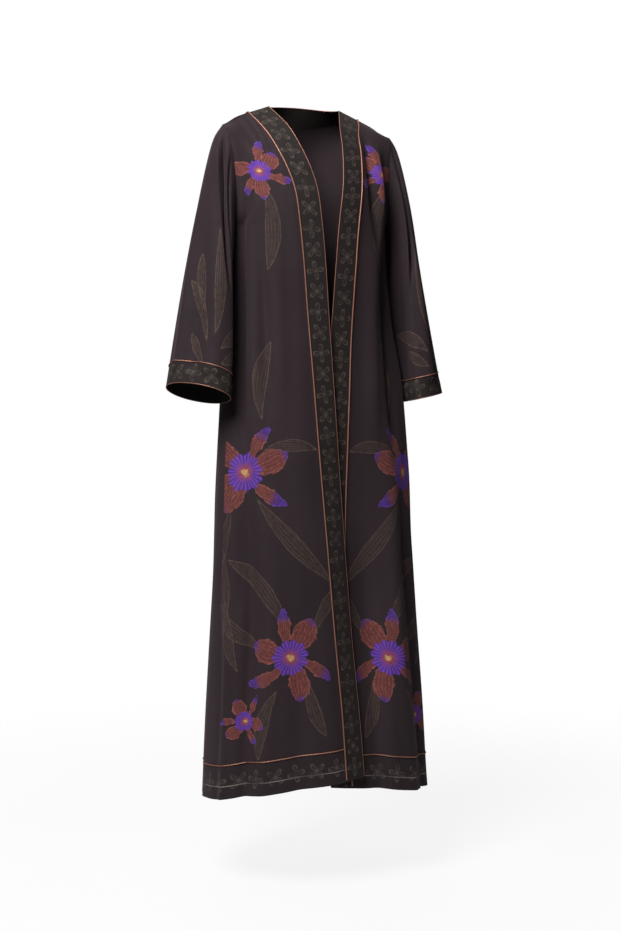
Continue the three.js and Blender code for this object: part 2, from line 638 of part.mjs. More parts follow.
for (const side of ['right', 'left']) {
  const facing = -outward[side];
  const front = frontSurface(side);
  const band = bandSurface(side);
  const sleeve = sleeveSurface(side);
  const seamLine = (place, lift) => bandRuns.map((run, index) => {
    const b = nudge(bandRuns, index, 1e-3, false);
    const out = normalAt(band, place, b, 2e-3, 1e-3, facing);
    const end = CORD_END / band(place, run).distanceTo(band(place, b)) * (b - run);
    return { at: band(place, b === run ? run : run + end).addScaledVector(out, lift), out };
  });
  cloak.add(clothWall('front_' + side, front, frontColumns, bodyRows, { ...BODY_STEP, facing }));
  cloak.add(clothWall('hem_band_' + side, front, frontColumns, hemRows, { ...BODY_STEP, facing }));
  cloak.add(clothWall('band_' + side, band, [-1, -0.5, 0], bandRuns, { ...BODY_STEP, facing }));
  cloak.add(cord('piping_seam_' + side, seamLine(0, PIPING_RADIUS + PIPING_LIFT), PIPING_RADIUS));
  const edgeShare = (EDGE_PIPING_RADIUS + SEAM_GAP) / BAND_WIDTH;
  cloak.add(cord('piping_edge_' + side, seamLine(-1 - edgeShare, -WALL / 2), EDGE_PIPING_RADIUS));

  const hemLine = frontColumns.map((place, index) => {
    const width = front(0.01, HEM_SEAM).distanceTo(front(0, HEM_SEAM)) / 0.01;
    const a = index === 0 ? PIPING_STOP / width : nudge(frontColumns, index, 2e-3, false);
    const out = normalAt(front, a, HEM_SEAM, 2e-3, 1e-3, facing);
    return { at: front(a, HEM_SEAM).addScaledVector(out, PIPING_RADIUS + PIPING_LIFT), out };
  });
  cloak.add(cord('piping_hem_' + side, hemLine, PIPING_RADIUS));

  const around = -facing;
  cloak.add(clothWall('sleeve_' + side, sleeve, sleeveTurns, sleeveRows, { ...SLEEVE_STEP, facing: around, closed: true }));
  cloak.add(clothWall('cuff_' + side, sleeve, sleeveTurns, [1, 2], { ...SLEEVE_STEP, facing: around, closed: true }));
  const ringLine = (down, lift, radius) => sleeveTurns.map((turn) => {
    const out = normalAt(sleeve, turn, Math.min(down, 1.99), 0.5, 2e-3, around);
    return { at: sleeve(turn, down).addScaledVector(out, lift), out };
  });
  cloak.add(cord('piping_cuff_top_' + side, ringLine(1, PIPING_RADIUS + PIPING_LIFT), PIPING_RADIUS, true));
  const endShare = (EDGE_PIPING_RADIUS + SEAM_GAP) / CUFF_HEIGHT;
  cloak.add(cord('piping_cuff_end_' + side, ringLine(2 + endShare, -WALL / 2), EDGE_PIPING_RADIUS, true));
}

cloak.add(clothWall('back', backSurface, backColumns, bodyRows, { ...BODY_STEP, facing: 1 }));
cloak.add(clothWall('hem_band_back', backSurface, backColumns, hemRows, { ...BODY_STEP, facing: 1 }));
cloak.add(cord('piping_hem_back', backColumns.map((place, index) => {
  const a = nudge(backColumns, index, 2e-3, false);
  const out = normalAt(backSurface, a, HEM_SEAM, 2e-3, 1e-3, 1);
  return { at: backSurface(a, HEM_SEAM).addScaledVector(out, PIPING_RADIUS + PIPING_LIFT), out };
}), PIPING_RADIUS));

const nape = V(0, NAPE_Y, NAPE_Z);
cloak.traverse((item) => {
  if (item.isMesh) item.geometry.translate(-nape.x, -nape.y, -nape.z);
});

export default cloak;
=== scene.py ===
"""Abaya cloak: looks. Lengths in the surface functions are millimetres, with z = 0 at the neck
end of the shoulder seams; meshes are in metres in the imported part's frame."""
import math

import bmesh
import bpy
import numpy as np
from mathutils import Matrix, Vector

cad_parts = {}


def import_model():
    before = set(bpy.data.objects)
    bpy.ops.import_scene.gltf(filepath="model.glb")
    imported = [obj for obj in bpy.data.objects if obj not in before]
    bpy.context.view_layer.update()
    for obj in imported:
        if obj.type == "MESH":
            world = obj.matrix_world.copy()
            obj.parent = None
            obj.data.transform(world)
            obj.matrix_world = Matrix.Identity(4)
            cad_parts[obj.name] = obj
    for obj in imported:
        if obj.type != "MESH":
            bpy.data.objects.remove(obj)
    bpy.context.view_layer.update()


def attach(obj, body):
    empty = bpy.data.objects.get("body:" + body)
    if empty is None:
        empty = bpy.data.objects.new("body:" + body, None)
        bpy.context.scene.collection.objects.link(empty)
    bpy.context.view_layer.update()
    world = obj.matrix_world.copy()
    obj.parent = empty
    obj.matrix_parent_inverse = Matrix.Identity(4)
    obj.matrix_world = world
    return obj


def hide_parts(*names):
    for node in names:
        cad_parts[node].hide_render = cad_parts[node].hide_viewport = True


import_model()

# ---- sizes shared with the solids -------------------------------------------------------------
BAND_WIDTH = 46.0
HEM_BAND_HEIGHT = 68.0
CUFF_HEIGHT = 43.0
UNDERARM_Z = -245.0
LAP_STEP = 10.0
LAP_START_Z = -300.0
LAP_FULL_Z = -520.0
LAP_FLAT = 70.0
LAP_REACH = 180.0
TURN_BACK_REACH = 75.0
NAPE = np.array([0.0, 62.0, 8.0])
NAPE_BAND_RISE = -0.89
BACK_TANGENT = 190.0
BACK_CORNER_FALL = 0.58
BACK_CORNER_OUT = 0.35
BACK_CORNER = 4 / 9
OUTWARD = {"right": -1.0, "left": 1.0}


def table(names, *rows):
    return dict(zip(names.split(), np.array(rows, float).T))


def each(rows):
    """The rows of a table, one dict at a time."""
    for values in zip(*rows.values()):
        yield dict(zip(rows, values))


SECTIONS = table(
    "z half_width front back side_y fullness side_turn",
    (-245, 172, -114, 100, -8, 2.15, 90),
    (-420, 181, -121, 101, -13, 2.1, 86),
    (-580, 196, -136, 102, -20, 2.1, 83),
    (-720, 206, -151, 105, -24, 2.1, 82),
    (-860, 214, -167, 112, -30, 2.1, 82),
    (-1000, 222, -182, 120, -34, 2.1, 82),
    (-1140, 230, -198, 129, -37, 2.1, 82),
    (-1260, 237, -212, 137, -39, 2.1, 82),
    (-1420, 245, -229, 146, -41, 2.1, 82),
)
FRONT_EDGES = table(
    "z right_x left_x depth_y turn_back",
    (0, -87, 75, 0, 0),
    (-37, -70, 54, -45, 0),
    (-90, -51, 43, -80, 0),
    (-155, -32, 33, -103, 0),
    (-245, -21, 18, -114, 0),
    (-330, -14, 10, -117, 1),
    (-420, -9, 4, -121, 3),
    (-540, -3, -4, -131, 7),
    (-670, 2, -14, -146, 11),
    (-815, 8, -25, -162, 17),
    (-930, 13, -32, -175, 21),
    (-1080, 19, -38, -191, 22),
    (-1210, 25, -41, -206, 20),
    (-1310, 27, -42, -217, 16),
    (-1420, 29, -42, -229, 14),
)
SHOULDERS = {"right": (-190.0, 5.0, -34.0), "left": (190.0, 5.0, -44.0)}
ARMHOLE_FRONT = (
    (0.1, 188, -14, -48),
    (0.22, 182, -25, -77),
    (0.45, 175, -30, -131),
    (0.7, 172, -30, -186),
    (0.88, 171, -23, -226),
)
ARMHOLE_BACK = (
    (0.1, 188, 24, -48),
    (0.22, 183, 40, -79),
    (0.45, 177, 48, -133),
    (0.7, 174, 45, -188),
    (0.88, 172, 23, -228),
)
HEM_LINE = table(
    "at right left",
    (0, -1351, -1368),
    (0.3, -1361, -1383),
    (0.7, -1380, -1403),
    (1, -1398, -1413),
    (2, -1411, -1411),
)
CUFFS = {
    "right": dict(x=-256, y=-29, z=-580, rise_out=0.45, rise_back=-0.2),
    "left": dict(x=256, y=-29, z=-594, rise_out=0.2, rise_back=-0.1),
}
CUFF_LONG = 78.0
CUFF_SHORT = 44.0
CUFF_TURN = 0.447
SLEEVE_START = table(
    "angle out forward down reach",
    (0, 0.62, 0.02, 0.78, 0.3),
    (90, 0.5, 0.42, 0.75, 0.5),
    (180, 0.08, 0, 1, 0.7),
    (270, 0.5, -0.42, 0.75, 0.5),
    (360, 0.62, 0.02, 0.78, 0.3),
)
SLEEVE_END = dict(out=0.2, forward=0.06, down=1.0, reach=0.8)
SLEEVE_CLEARANCE = 4.0


# ---- plain maths -----------------------------------------------------------------------------
def vec(x, y, z):
    return np.stack(np.broadcast_arrays(np.asarray(x, float), y, z), -1)


def smooth(low, high, value):
    t = np.clip((value - low) / (high - low), 0, 1)
    return t * t * (3 - 2 * t)


def mix(a, b, t):
    return a + (b - a) * t


def hermite(p0, m0, p1, m1, s):
    s = np.asarray(s, float)[..., None]
    square, cube = s * s, s * s * s
    return (
        (2 * cube - 3 * square + 1) * p0
        + (cube - 2 * square + s) * m0
        + (3 * square - 2 * cube) * p1
        + (cube - square) * m1
    )


def along(rows, key, column, at):
    """Smooth curve through a table's rows, column against key."""
    k, v = rows[key], rows[column]
    if k[-1] < k[0]:
        k, v = k[::-1], v[::-1]
    gap = np.diff(k)
    slope = np.diff(v) / gap
    tangent = np.empty_like(v)
    tangent[0], tangent[-1] = slope[0], slope[-1]
    tangent[1:-1] = (slope[:-1] * gap[1:] + slope[1:] * gap[:-1]) / (gap[:-1] + gap[1:])
    at = np.asarray(at, float)
    i = np.clip(np.searchsorted(k, at, side="right") - 1, 0, len(k) - 2)
    s = (at - k[i]) / gap[i]
    return (
        (2 * s**3 - 3 * s**2 + 1) * v[i]
        + (s**3 - 2 * s**2 + s) * tangent[i] * gap[i]
        + (3 * s**2 - 2 * s**3) * v[i + 1]
        + (s**3 - s**2) * tangent[i + 1] * gap[i]
    )


def unit(v):
    return v / np.maximum(np.linalg.norm(v, axis=-1, keepdims=True), 1e-12)


# ---- body surface ----------------------------------------------------------------------------
def section_point(z, turn):
    half = along(SECTIONS, "z", "half_width", z)
    side_y = along(SECTIONS, "z", "side_y", z)
    power = 2 / along(SECTIONS, "z", "fullness", z)
    front = side_y - along(SECTIONS, "z", "front", z)
    back = along(SECTIONS, "z", "back", z) - side_y
    s, c = np.sin(turn), np.cos(turn)
    depth = np.where(c > 0, front, back)
    x = half * np.sign(s) * np.abs(s) ** power
    return vec(x, side_y - depth * np.sign(c) * np.abs(c) ** power, z)


def edge_turn(side, z):
    x = along(FRONT_EDGES, "z", side + "_x", z)
    power = along(SECTIONS, "z", "fullness", z) / 2
    return np.sign(x) * np.arcsin(np.abs(x / along(SECTIONS, "z", "half_width", z)) ** power)


def level_at(side, down, at):
    return mix(UNDERARM_Z, along(HEM_LINE, "at", side, np.clip(at, 0, 2)), down)


def side_turn(side, down):
    return np.radians(along(SECTIONS, "z", "side_turn", level_at(side, down, 1.0)))


def skirt_front(side, down, across):
    start = edge_turn(side, level_at(side, down, 0.0))
    turn = mix(start, OUTWARD[side] * side_turn(side, down), across)
    return section_point(level_at(side, down, across), turn)


def skirt_back(side, down, across):
    turn = OUTWARD[side] * mix(math.pi, side_turn(side, down), across)
    return section_point(level_at(side, down, 2 - across), turn)


def neck_point(side):
    return np.array([FRONT_EDGES[side + "_x"][0], 0.0, 0.0])


def armhole_point(side, rows, t):
    top, under = SHOULDERS[side], section_point(UNDERARM_Z, OUTWARD[side] * math.pi / 2)
    first = (0, abs(top[0]), top[1], top[2])
    last = (1, abs(under[0]), under[1], under[2])
    tab = table("t x y z", first, *rows, last)
    x = OUTWARD[side] * along(tab, "t", "x", t)
    return vec(x, along(tab, "t", "y", t), along(tab, "t", "z", t))


def front_edge(side, t):
    z = np.asarray(t, float) * UNDERARM_Z
    low = section_point(UNDERARM_Z, edge_turn(side, UNDERARM_Z))
    end_y = along(FRONT_EDGES, "z", "depth_y", UNDERARM_Z)
    y = along(FRONT_EDGES, "z", "depth_y", z) + (low[1] - end_y) * np.asarray(t) ** 2
    return vec(along(FRONT_EDGES, "z", side + "_x", z), y, z)


STEP = 1e-3


def slope_at(curve, t):
    return (curve(t + STEP) - curve(t)) / STEP


def fall_slope(side, slope):
    return slope * UNDERARM_Z / (along(HEM_LINE, "at", side, 1.0) - UNDERARM_Z)


def skin(top, top_slope, low, low_slope, inner, outer, u, t):
    u, t = np.broadcast_arrays(u, t)

    def at(u0):
        return hermite(top(u0), top_slope(u0), low(u0), low_slope(u0), t)

    point = at(u)
    point = point + (inner(t) - at(np.zeros_like(u))) * ((1 - u) ** 3)[..., None]
    return point + (outer(t) - at(np.ones_like(u))) * (u**3)[..., None]


def yoke_front(side, t, across):
    edge = lambda s: front_edge(side, s)
    armhole = lambda s: armhole_point(side, ARMHOLE_FRONT, s)
    shoulder = np.array(SHOULDERS[side])
    top = lambda u: mix(neck_point(side), shoulder, u[..., None])
    top_slope = lambda u: mix(slope_at(edge, 0.0), slope_at(armhole, 0.0), u[..., None])
    low = lambda u: skirt_front(side, 0.0, u)
    low_slope = lambda u: fall_slope(side, slope_at(lambda d: skirt_front(side, d, u), 0.0))
    return skin(top, top_slope, low, low_slope, edge, armhole, across, t)


def neck_ribbon(side, around, out):
    """Ribbon round the back neck: around from 0 at the shoulder to 1 at the nape."""
    around, out = np.broadcast_arrays(np.asarray(around, float), np.asarray(out, float))
    angle = around * math.pi / 2
    neck = neck_point(side)
    shoulder = unit(np.array(SHOULDERS[side]) - neck)
    inner = vec(neck[0] * np.cos(angle), NAPE[1] * np.sin(angle), NAPE[2] * np.sin(angle) ** 2)
    fall = mix(shoulder[2], NAPE_BAND_RISE, np.sin(angle) ** 2)
    level = np.sqrt(1 - fall**2)
    heading = unit(vec(OUTWARD[side] * np.cos(angle), np.sin(angle), 0.0))
    direction = unit(vec(heading[..., 0] * level, heading[..., 1] * level, fall))
    direction = unit(mix(direction, shoulder, ((1 - around) ** 4)[..., None]))
    return inner + direction * (BAND_WIDTH * out)[..., None]


def yoke_back(side, t, across):
    seam_end = neck_ribbon(side, 0.0, 1.0)
    shoulder = np.array(SHOULDERS[side])
    armhole = lambda s: armhole_point(side, ARMHOLE_BACK, s)

    def top(u):
        neck = neck_ribbon(side, 1 - np.clip(u / BACK_CORNER, 0, 1), 1.0)
        part = np.clip((u - BACK_CORNER) / (1 - BACK_CORNER), 0, 1)[..., None]
        return np.where((u < BACK_CORNER)[..., None], neck, mix(seam_end, shoulder, part))

    start = neck_ribbon(side, 1.0, 1.0)
    leave = unit(start - neck_ribbon(side, 1.0, 0.0)) * BACK_TANGENT
    end = fall_slope(side, slope_at(lambda d: skirt_back(side, d, 0.0), 0.0))
    centre = lambda s: hermite(start, leave, skirt_back(side, 0.0, 0.0), end, s)
    level = math.sqrt(1 - BACK_CORNER_FALL**2 - BACK_CORNER_OUT**2)
    corner = BACK_TANGENT * np.array([OUTWARD[side] * BACK_CORNER_OUT, level, -BACK_CORNER_FALL])

    def top_slope(u):
        near = mix(slope_at(centre, 0.0), corner, np.clip(u / BACK_CORNER, 0, 1)[..., None])
        part = np.clip((u - BACK_CORNER) / (1 - BACK_CORNER), 0, 1)[..., None]
        return np.where((u < BACK_CORNER)[..., None], near, mix(corner, slope_at(armhole, 0.0), part))

    low = lambda u: skirt_back(side, 0.0, u)
    low_slope = lambda u: fall_slope(side, slope_at(lambda d: skirt_back(side, d, u), 0.0))
    return skin(top, top_slope, low, low_slope, centre, armhole, across, t)


ROW_SAMPLES = 60


def front_raw(side, down, across):
    down, across = np.broadcast_arrays(np.asarray(down, float), across)
    low = skirt_front(side, np.maximum(down, 0), across)
    high = yoke_front(side, np.minimum(down, 0) + 1, across)
    return np.where((down < 0)[..., None], high, low)


def front_rows(side, down):
    """Arc lengths along each row, and where the band's seam lies."""
    u = np.linspace(0, 1, ROW_SAMPLES + 1)
    points = front_raw(side, down[:, None], u[None])
    step = np.linalg.norm(np.diff(points, axis=1), axis=-1)
    lengths = np.concatenate([np.zeros((len(down), 1)), np.cumsum(step, 1)], 1)
    away = unit(front_raw(side, down, STEP) - front_raw(side, down, 0.0))
    low = np.where(down < 0, np.maximum(down, -1 + STEP), down)
    run = unit(front_raw(side, low + STEP, 0.0) - front_raw(side, low - STEP, 0.0))
    square = np.sqrt(1 - (away * run).sum(-1) ** 2)
    return lengths, BAND_WIDTH / square


def front_base(side, down, place):
    """Points and arc lengths from the front edge, on a grid of rows down and columns place."""
    lengths, seam = front_rows(side, down)
    total = lengths[:, -1]
    place = np.broadcast_to(place, (len(down), len(place)))
    inside = seam[:, None] * (1 + place)
    wanted = np.where(place < 0, inside, mix(seam[:, None], total[:, None], place))
    u = np.linspace(0, 1, ROW_SAMPLES + 1)
    across = np.stack([np.interp(w, l, u) for w, l in zip(wanted, lengths)])
    beyond = wanted < 0
    across = np.where(beyond, wanted / lengths[:, 1:2] / ROW_SAMPLES, across)
    points = front_raw(side, down[:, None], across)
    z = points[..., 2]
    back = np.where(z < UNDERARM_Z, along(FRONT_EDGES, "z", "turn_back", np.minimum(z, UNDERARM_Z)), 0)
    if side == "left":
        step = back + LAP_STEP * smooth(LAP_START_Z, LAP_FULL_Z, z)
        points[..., 1] += step * smooth(LAP_REACH, LAP_FLAT, wanted)
    else:
        points[..., 1] += back * np.clip(1 - wanted / TURN_BACK_REACH, 0, 2) ** 1.5
    return points, wanted


# ---- sleeve surface --------------------------------------------------------------------------
def cuff_point(side, angle):
    cuff, sign = CUFFS[side], OUTWARD[side]
    across, forward = CUFF_SHORT * np.cos(angle), CUFF_LONG * np.sin(angle)
    dx = sign * (across * math.cos(CUFF_TURN) - forward * math.sin(CUFF_TURN))
    dy = -across * math.sin(CUFF_TURN) - forward * math.cos(CUFF_TURN)
    z = cuff["z"] + cuff["rise_out"] * dx * sign + cuff["rise_back"] * dy
    return vec(cuff["x"] + dx, cuff["y"] + dy, z)


def sleeve_base(side, degrees, down):
    """Grid of rows down (0 armhole, 1 cuff seam, 2 cuff end) and columns degrees."""
    degrees = np.asarray(degrees, float) % 360
    part = degrees / 180
    front = armhole_point(side, ARMHOLE_FRONT, np.clip(part, 0, 1))
    back = armhole_point(side, ARMHOLE_BACK, np.clip(2 - part, 0, 1))
    start = np.where((part <= 1)[:, None], front, back)
    end = cuff_point(side, np.radians(degrees))
    reach = np.linalg.norm(end - start, axis=-1)[:, None]
    value = lambda name: along(SLEEVE_START, "angle", name, degrees)
    leave = unit(vec(OUTWARD[side] * value("out"), -value("forward"), -value("down")))
    leave = leave * reach * value("reach")[:, None]
    e = SLEEVE_END
    arrive = unit(vec(OUTWARD[side] * e["out"], -e["forward"], -e["down"])) * reach * e["reach"]
    s = np.linspace(0, 1, ROW_SAMPLES + 1)
    lines = hermite(start[None], leave[None], end[None], arrive[None], np.repeat(s[:, None], len(degrees), 1))
    step = np.linalg.norm(np.diff(lines, axis=0), axis=-1)
    lengths = np.concatenate([np.zeros((1, len(degrees))), np.cumsum(step, 0)])
    total = lengths[-1]
    seam = total - CUFF_HEIGHT
    down = np.asarray(down, float)[:, None]
    wanted = np.where(down <= 1, seam * down, mix(seam, total, down - 1))
    t = np.stack([np.interp(w, l, s) for w, l in zip(wanted.T, lengths.T)], 1)
    tail = wanted > total
    t = np.where(tail, 1 + (wanted - total) / (total - lengths[-2]) / ROW_SAMPLES, t)
    points = hermite(start[None], leave[None], end[None], arrive[None], t)
    level = np.clip(points[..., 2], SECTIONS["z"][-1], UNDERARM_Z)
    side_x = along(SECTIONS, "z", "half_width", level)
    limit = side_x + SLEEVE_CLEARANCE * smooth(0, 0.12, down)
    x = np.abs(points[..., 0])
    near = (points[..., 2] < UNDERARM_Z + 20) & (x < limit) & (down > 0)
    points[..., 0] = np.where(near, OUTWARD[side] * mix(x, limit, smooth(0, 0.08, down)), points[..., 0])
    return points, wanted


# ---- creases ---------------------------------------------------------------------------------
CREASE_START = 0.35
CREASE_END = 0.65
SEAM_FADE = 0.08
RIPPLE = 1.1
# Each crease runs down a panel: at is the share of the panel's width from the front seam (or right
# side seam), at its top and its bottom; width is its half width in millimetres, first towards the
# front seam, then away from it; depth is outward.
CREASES = {
    "front_right": table(
        "top bottom at_top at_bottom width_near width_far depth keep",
        (-6, -130, 0.14, 0.3, 10, 9, -8, 0),
        (-4, -110, 0.5, 0.42, 9, 11, -5, 0),
        (-40, -330, 0.72, 0.82, 12, 11, -7, 0),
        (-150, -700, 0.32, 0.38, 18, 22, 6, 0),
        (-220, -660, 0.53, 0.5, 13, 12, -8, 0),
        (-150, -780, 0.83, 0.8, 15, 13, -10, 0),
        (-330, -800, 0.68, 0.66, 16, 13, 6, 0),
        (-540, -1080, 0.7, 0.74, 15, 20, -11, 0),
        (-640, -1500, 0.86, 0.9, 17, 15, 7, 1),
        (-780, -1600, 0.66, 0.78, 20, 13, -13, 1),
        (-860, -1600, 0.5, 0.62, 22, 16, 7, 1),
        (-960, -1600, 0.3, 0.34, 26, 22, -7, 1),
    ),
    "front_left": table(
        "top bottom at_top at_bottom width_near width_far depth keep",
        (-4, -330, 0.16, 0.4, 11, 12, -11, 0),
        (-20, -360, 0.46, 0.58, 13, 11, 7, 0),
        (-50, -420, 0.76, 0.84, 14, 12, -11, 0),
        (-200, -740, 0.3, 0.32, 24, 16, 9, 0),
        (-160, -780, 0.56, 0.6, 15, 22, -18, 0),
        (-420, -900, 0.88, 0.86, 13, 13, 7, 0),
        (-640, -1600, 0.66, 0.72, 24, 18, -14, 1),
        (-760, -1600, 0.44, 0.5, 20, 18, 9, 1),
        (-820, -1600, 0.2, 0.22, 22, 24, -11, 1),
    ),
    "back": table(
        "top bottom at_top at_bottom width_near width_far depth keep",
        (-420, -1600, 0.32, 0.3, 34, 24, -11, 1),
        (-360, -1600, 0.5, 0.5, 50, 50, 7, 1),
        (-480, -1600, 0.7, 0.71, 24, 36, -12, 1),
        (-330, -1000, 0.2, 0.19, 20, 26, 6, 0),
        (-620, -1600, 0.14, 0.13, 20, 18, -7, 1),
        (-560, -1600, 0.86, 0.87, 18, 22, -8, 1),
        (-700, -1600, 0.6, 0.61, 18, 20, 5, 1),
        (-350, -820, 0.42, 0.41, 14, 18, -5, 0),
        (-340, -760, 0.58, 0.6, 18, 14, -5, 0),
    ),
}


def crease_depth(rows, place, width, z):
    """Sum of the creases on a grid; width is each row's width in millimetres."""
    total = np.zeros_like(z)
    for c in each(rows):
        length = c["top"] - c["bottom"]
        part = (c["top"] - z) / length
        at = mix(c["at_top"], c["at_bottom"], np.clip(part, 0, 1))
        away = (place - at) * width
        half = np.where(away < 0, c["width_near"], c["width_far"])
        fade_in = smooth(0, CREASE_START, part)
        fade_out = 1 if c["keep"] else 1 - smooth(CREASE_END, 1.0, part)
        total += c["depth"] * fade_in * fade_out * np.exp(-((away / half) ** 2))
    return total


def ripple(a, b, seed, length, count=7):
    """Slow unevenness of hanging cloth: a few crossed waves, about 1 high."""
    random = np.random.default_rng(seed)
    total = np.zeros(np.broadcast(a, b).shape)
    for _ in range(count):
        turn, phase = random.uniform(-0.5, 0.5), random.uniform(0, 2 * math.pi)
        pitch = length * random.uniform(0.6, 1.6)
        total += np.sin(2 * math.pi * (a * math.cos(turn) + b * math.sin(turn) * 0.4) / pitch + phase)
    return total / math.sqrt(count)


def grid_normals(points, closed=False):
    """Unit normals on a grid of rows and columns; closed wraps the columns."""
    if closed:
        wrapped = np.concatenate([points[:, -1:], points, points[:, :1]], 1)
        across = (wrapped[:, 2:] - wrapped[:, :-2]) / 2
    else:
        across = np.gradient(points, axis=1)
    down = np.gradient(points, axis=0)
    return unit(np.cross(across, down))


class Cloth:
    """A fine grid of one cut piece: points, outward normals and its cloth measures in mm.
    a runs across from the band seam (or side seam), d runs down from the underarm level."""

    def __init__(self, points, normals, a, d, closed=False, base=None):
        self.points, self.normals, self.a, self.d, self.closed = points, normals, a, d, closed
        self.fields = {"face": np.ones(points.shape)}
        self.base = points if base is None else base


def row_lengths(points):
    step = np.linalg.norm(np.diff(points, axis=1), axis=-1)
    return np.concatenate([np.zeros((len(points), 1)), np.cumsum(step, 1)], 1)


def cut_size(cloth, rows, columns):
    """Widest width, longest length and area of a cut piece in metres, with its creases left out."""
    base = cloth.base[rows, columns]
    width = row_lengths(base)[:, -1].max()
    length = row_lengths(base.swapaxes(0, 1))[:, -1].max()
    one, other = base[1:, 1:] - base[:-1, :-1], base[1:, :-1] - base[:-1, 1:]
    area = np.linalg.norm(np.cross(one, other), axis=-1).sum() / 2
    return round(width / 1e3, 4), round(length / 1e3, 4), round(area / 1e6, 5)


# ---- whole pieces ------------------------------------------------------------------------------
SKIRT_LENGTH = UNDERARM_Z - along(HEM_LINE, "at", "right", 1.0)
HEM_SEAM = 1 - HEM_BAND_HEIGHT / SKIRT_LENGTH
YOKE_HEIGHT = -UNDERARM_Z
FRONT_COLUMNS, BACK_COLUMNS, BAND_COLUMNS = 90, 150, 14
YOKE_ROWS, SKIRT_ROWS, HEM_ROWS, NECK_ROWS = 56, 240, 18, 36
SLEEVE_COLUMNS, SLEEVE_ROWS, CUFF_ROWS = 128, 110, 12


def down_measure(down):
    """Distance down the cloth in mm from the underarm level."""
    return np.where(down < 0, down * YOKE_HEIGHT, down * SKIRT_LENGTH)


body_down = np.concatenate(
    [
        np.linspace(-1, 0, YOKE_ROWS + 1)[:-1],
        np.linspace(0, HEM_SEAM, SKIRT_ROWS + 1),
        np.linspace(HEM_SEAM, 1, HEM_ROWS + 1)[1:],
    ]
)
HEM_ROW = YOKE_ROWS + SKIRT_ROWS


def front_cloth(side):
    """One front with its band: columns -1..0 are the band, 0..1 the panel."""
    place = np.concatenate([np.linspace(-1, 0, BAND_COLUMNS + 1), np.linspace(0, 1, FRONT_COLUMNS + 1)[1:]])
    base, wanted = front_base(side, body_down, place)
    lengths = row_lengths(base)
    a = lengths - lengths[:, BAND_COLUMNS : BAND_COLUMNS + 1]
    width = a[:, -1:]
    z = base[..., 2]
    normals = grid_normals(base) * -OUTWARD[side]
    panel = np.clip(place, 0, 1)[None]
    edge = smooth(0, SEAM_FADE, panel) * smooth(1, 1 - SEAM_FADE, panel)
    depth = crease_depth(CREASES["front_" + side], panel, width, z) * edge
    flat = unit(normals * np.array([1, 1, 0.0]))
    points = base + flat * depth[..., None]
    fade = smooth(0, 60, -z) * edge
    points = rounded(side, points)
    rough = ripple(a, z, 11 if side == "right" else 12, 80) * RIPPLE
    points = points + flat * (rough * fade)[..., None]
    normals = grid_normals(points) * -OUTWARD[side]
    return Cloth(points, normals, a, down_measure(body_down), base=base)


def back_cloth():
    half = np.linspace(0, 1, BACK_COLUMNS // 2 + 1)
    sides = []
    for side in ("right", "left"):
        down, across = np.meshgrid(body_down, half, indexing="ij")
        low = skirt_back(side, np.maximum(down, 0), across)
        high = yoke_back(side, np.minimum(down, 0) + 1, across)
        sides.append(rounded(side, np.where((down < 0)[..., None], high, low)))
    base = np.concatenate([sides[0][:, ::-1], sides[1][:, 1:]], 1)
    lengths = row_lengths(base)
    place = (np.linspace(-1, 1, BACK_COLUMNS + 1)[None] + 1) / 2
    z = base[..., 2]
    edge = smooth(0, SEAM_FADE, place) * smooth(1, 1 - SEAM_FADE, place)
    edge = edge * smooth(UNDERARM_Z, UNDERARM_Z - 40, z)
    normals = grid_normals(base)
    flat = unit(normals * np.array([1, 1, 0.0]))
    depth = crease_depth(CREASES["back"], place, lengths[:, -1:], z) * edge
    points = base + flat * (depth + ripple(lengths, z, 13, 110) * RIPPLE * edge)[..., None]
    return Cloth(points, grid_normals(points), lengths, down_measure(body_down), base=base)


SLEEVE_CREASES = {
    "right": table(
        "top bottom at_top at_bottom width depth",
        (0.0, 0.36, 58, 96, 8, -7),
        (-0.04, 0.66, 16, 96, 9, -17),
        (0.0, 0.5, 2, 72, 9, 5),
        (0.15, 1.4, 140, 128, 20, -10),
        (0.2, 1.6, 344, 338, 10, 7),
        (0.3, 1.6, 14, 8, 13, -8),
        (0.35, 1.6, 52, 46, 18, 5),
        (0.2, 1.4, 235, 232, 24, -8),
        (0.04, 0.5, 300, 262, 14, -6),
    ),
    "left": table(
        "top bottom at_top at_bottom width depth",
        (-0.04, 0.56, 30, 88, 10, -14),
        (0.03, 0.6, 66, 104, 9, 6),
        (0.1, 1.4, 140, 132, 22, -9),
        (0.25, 1.5, 62, 56, 15, 6),
        (0.3, 1.5, 30, 24, 16, -6),
        (0.2, 1.4, 235, 232, 24, -8),
        (0.04, 0.5, 300, 262, 14, -6),
    ),
}


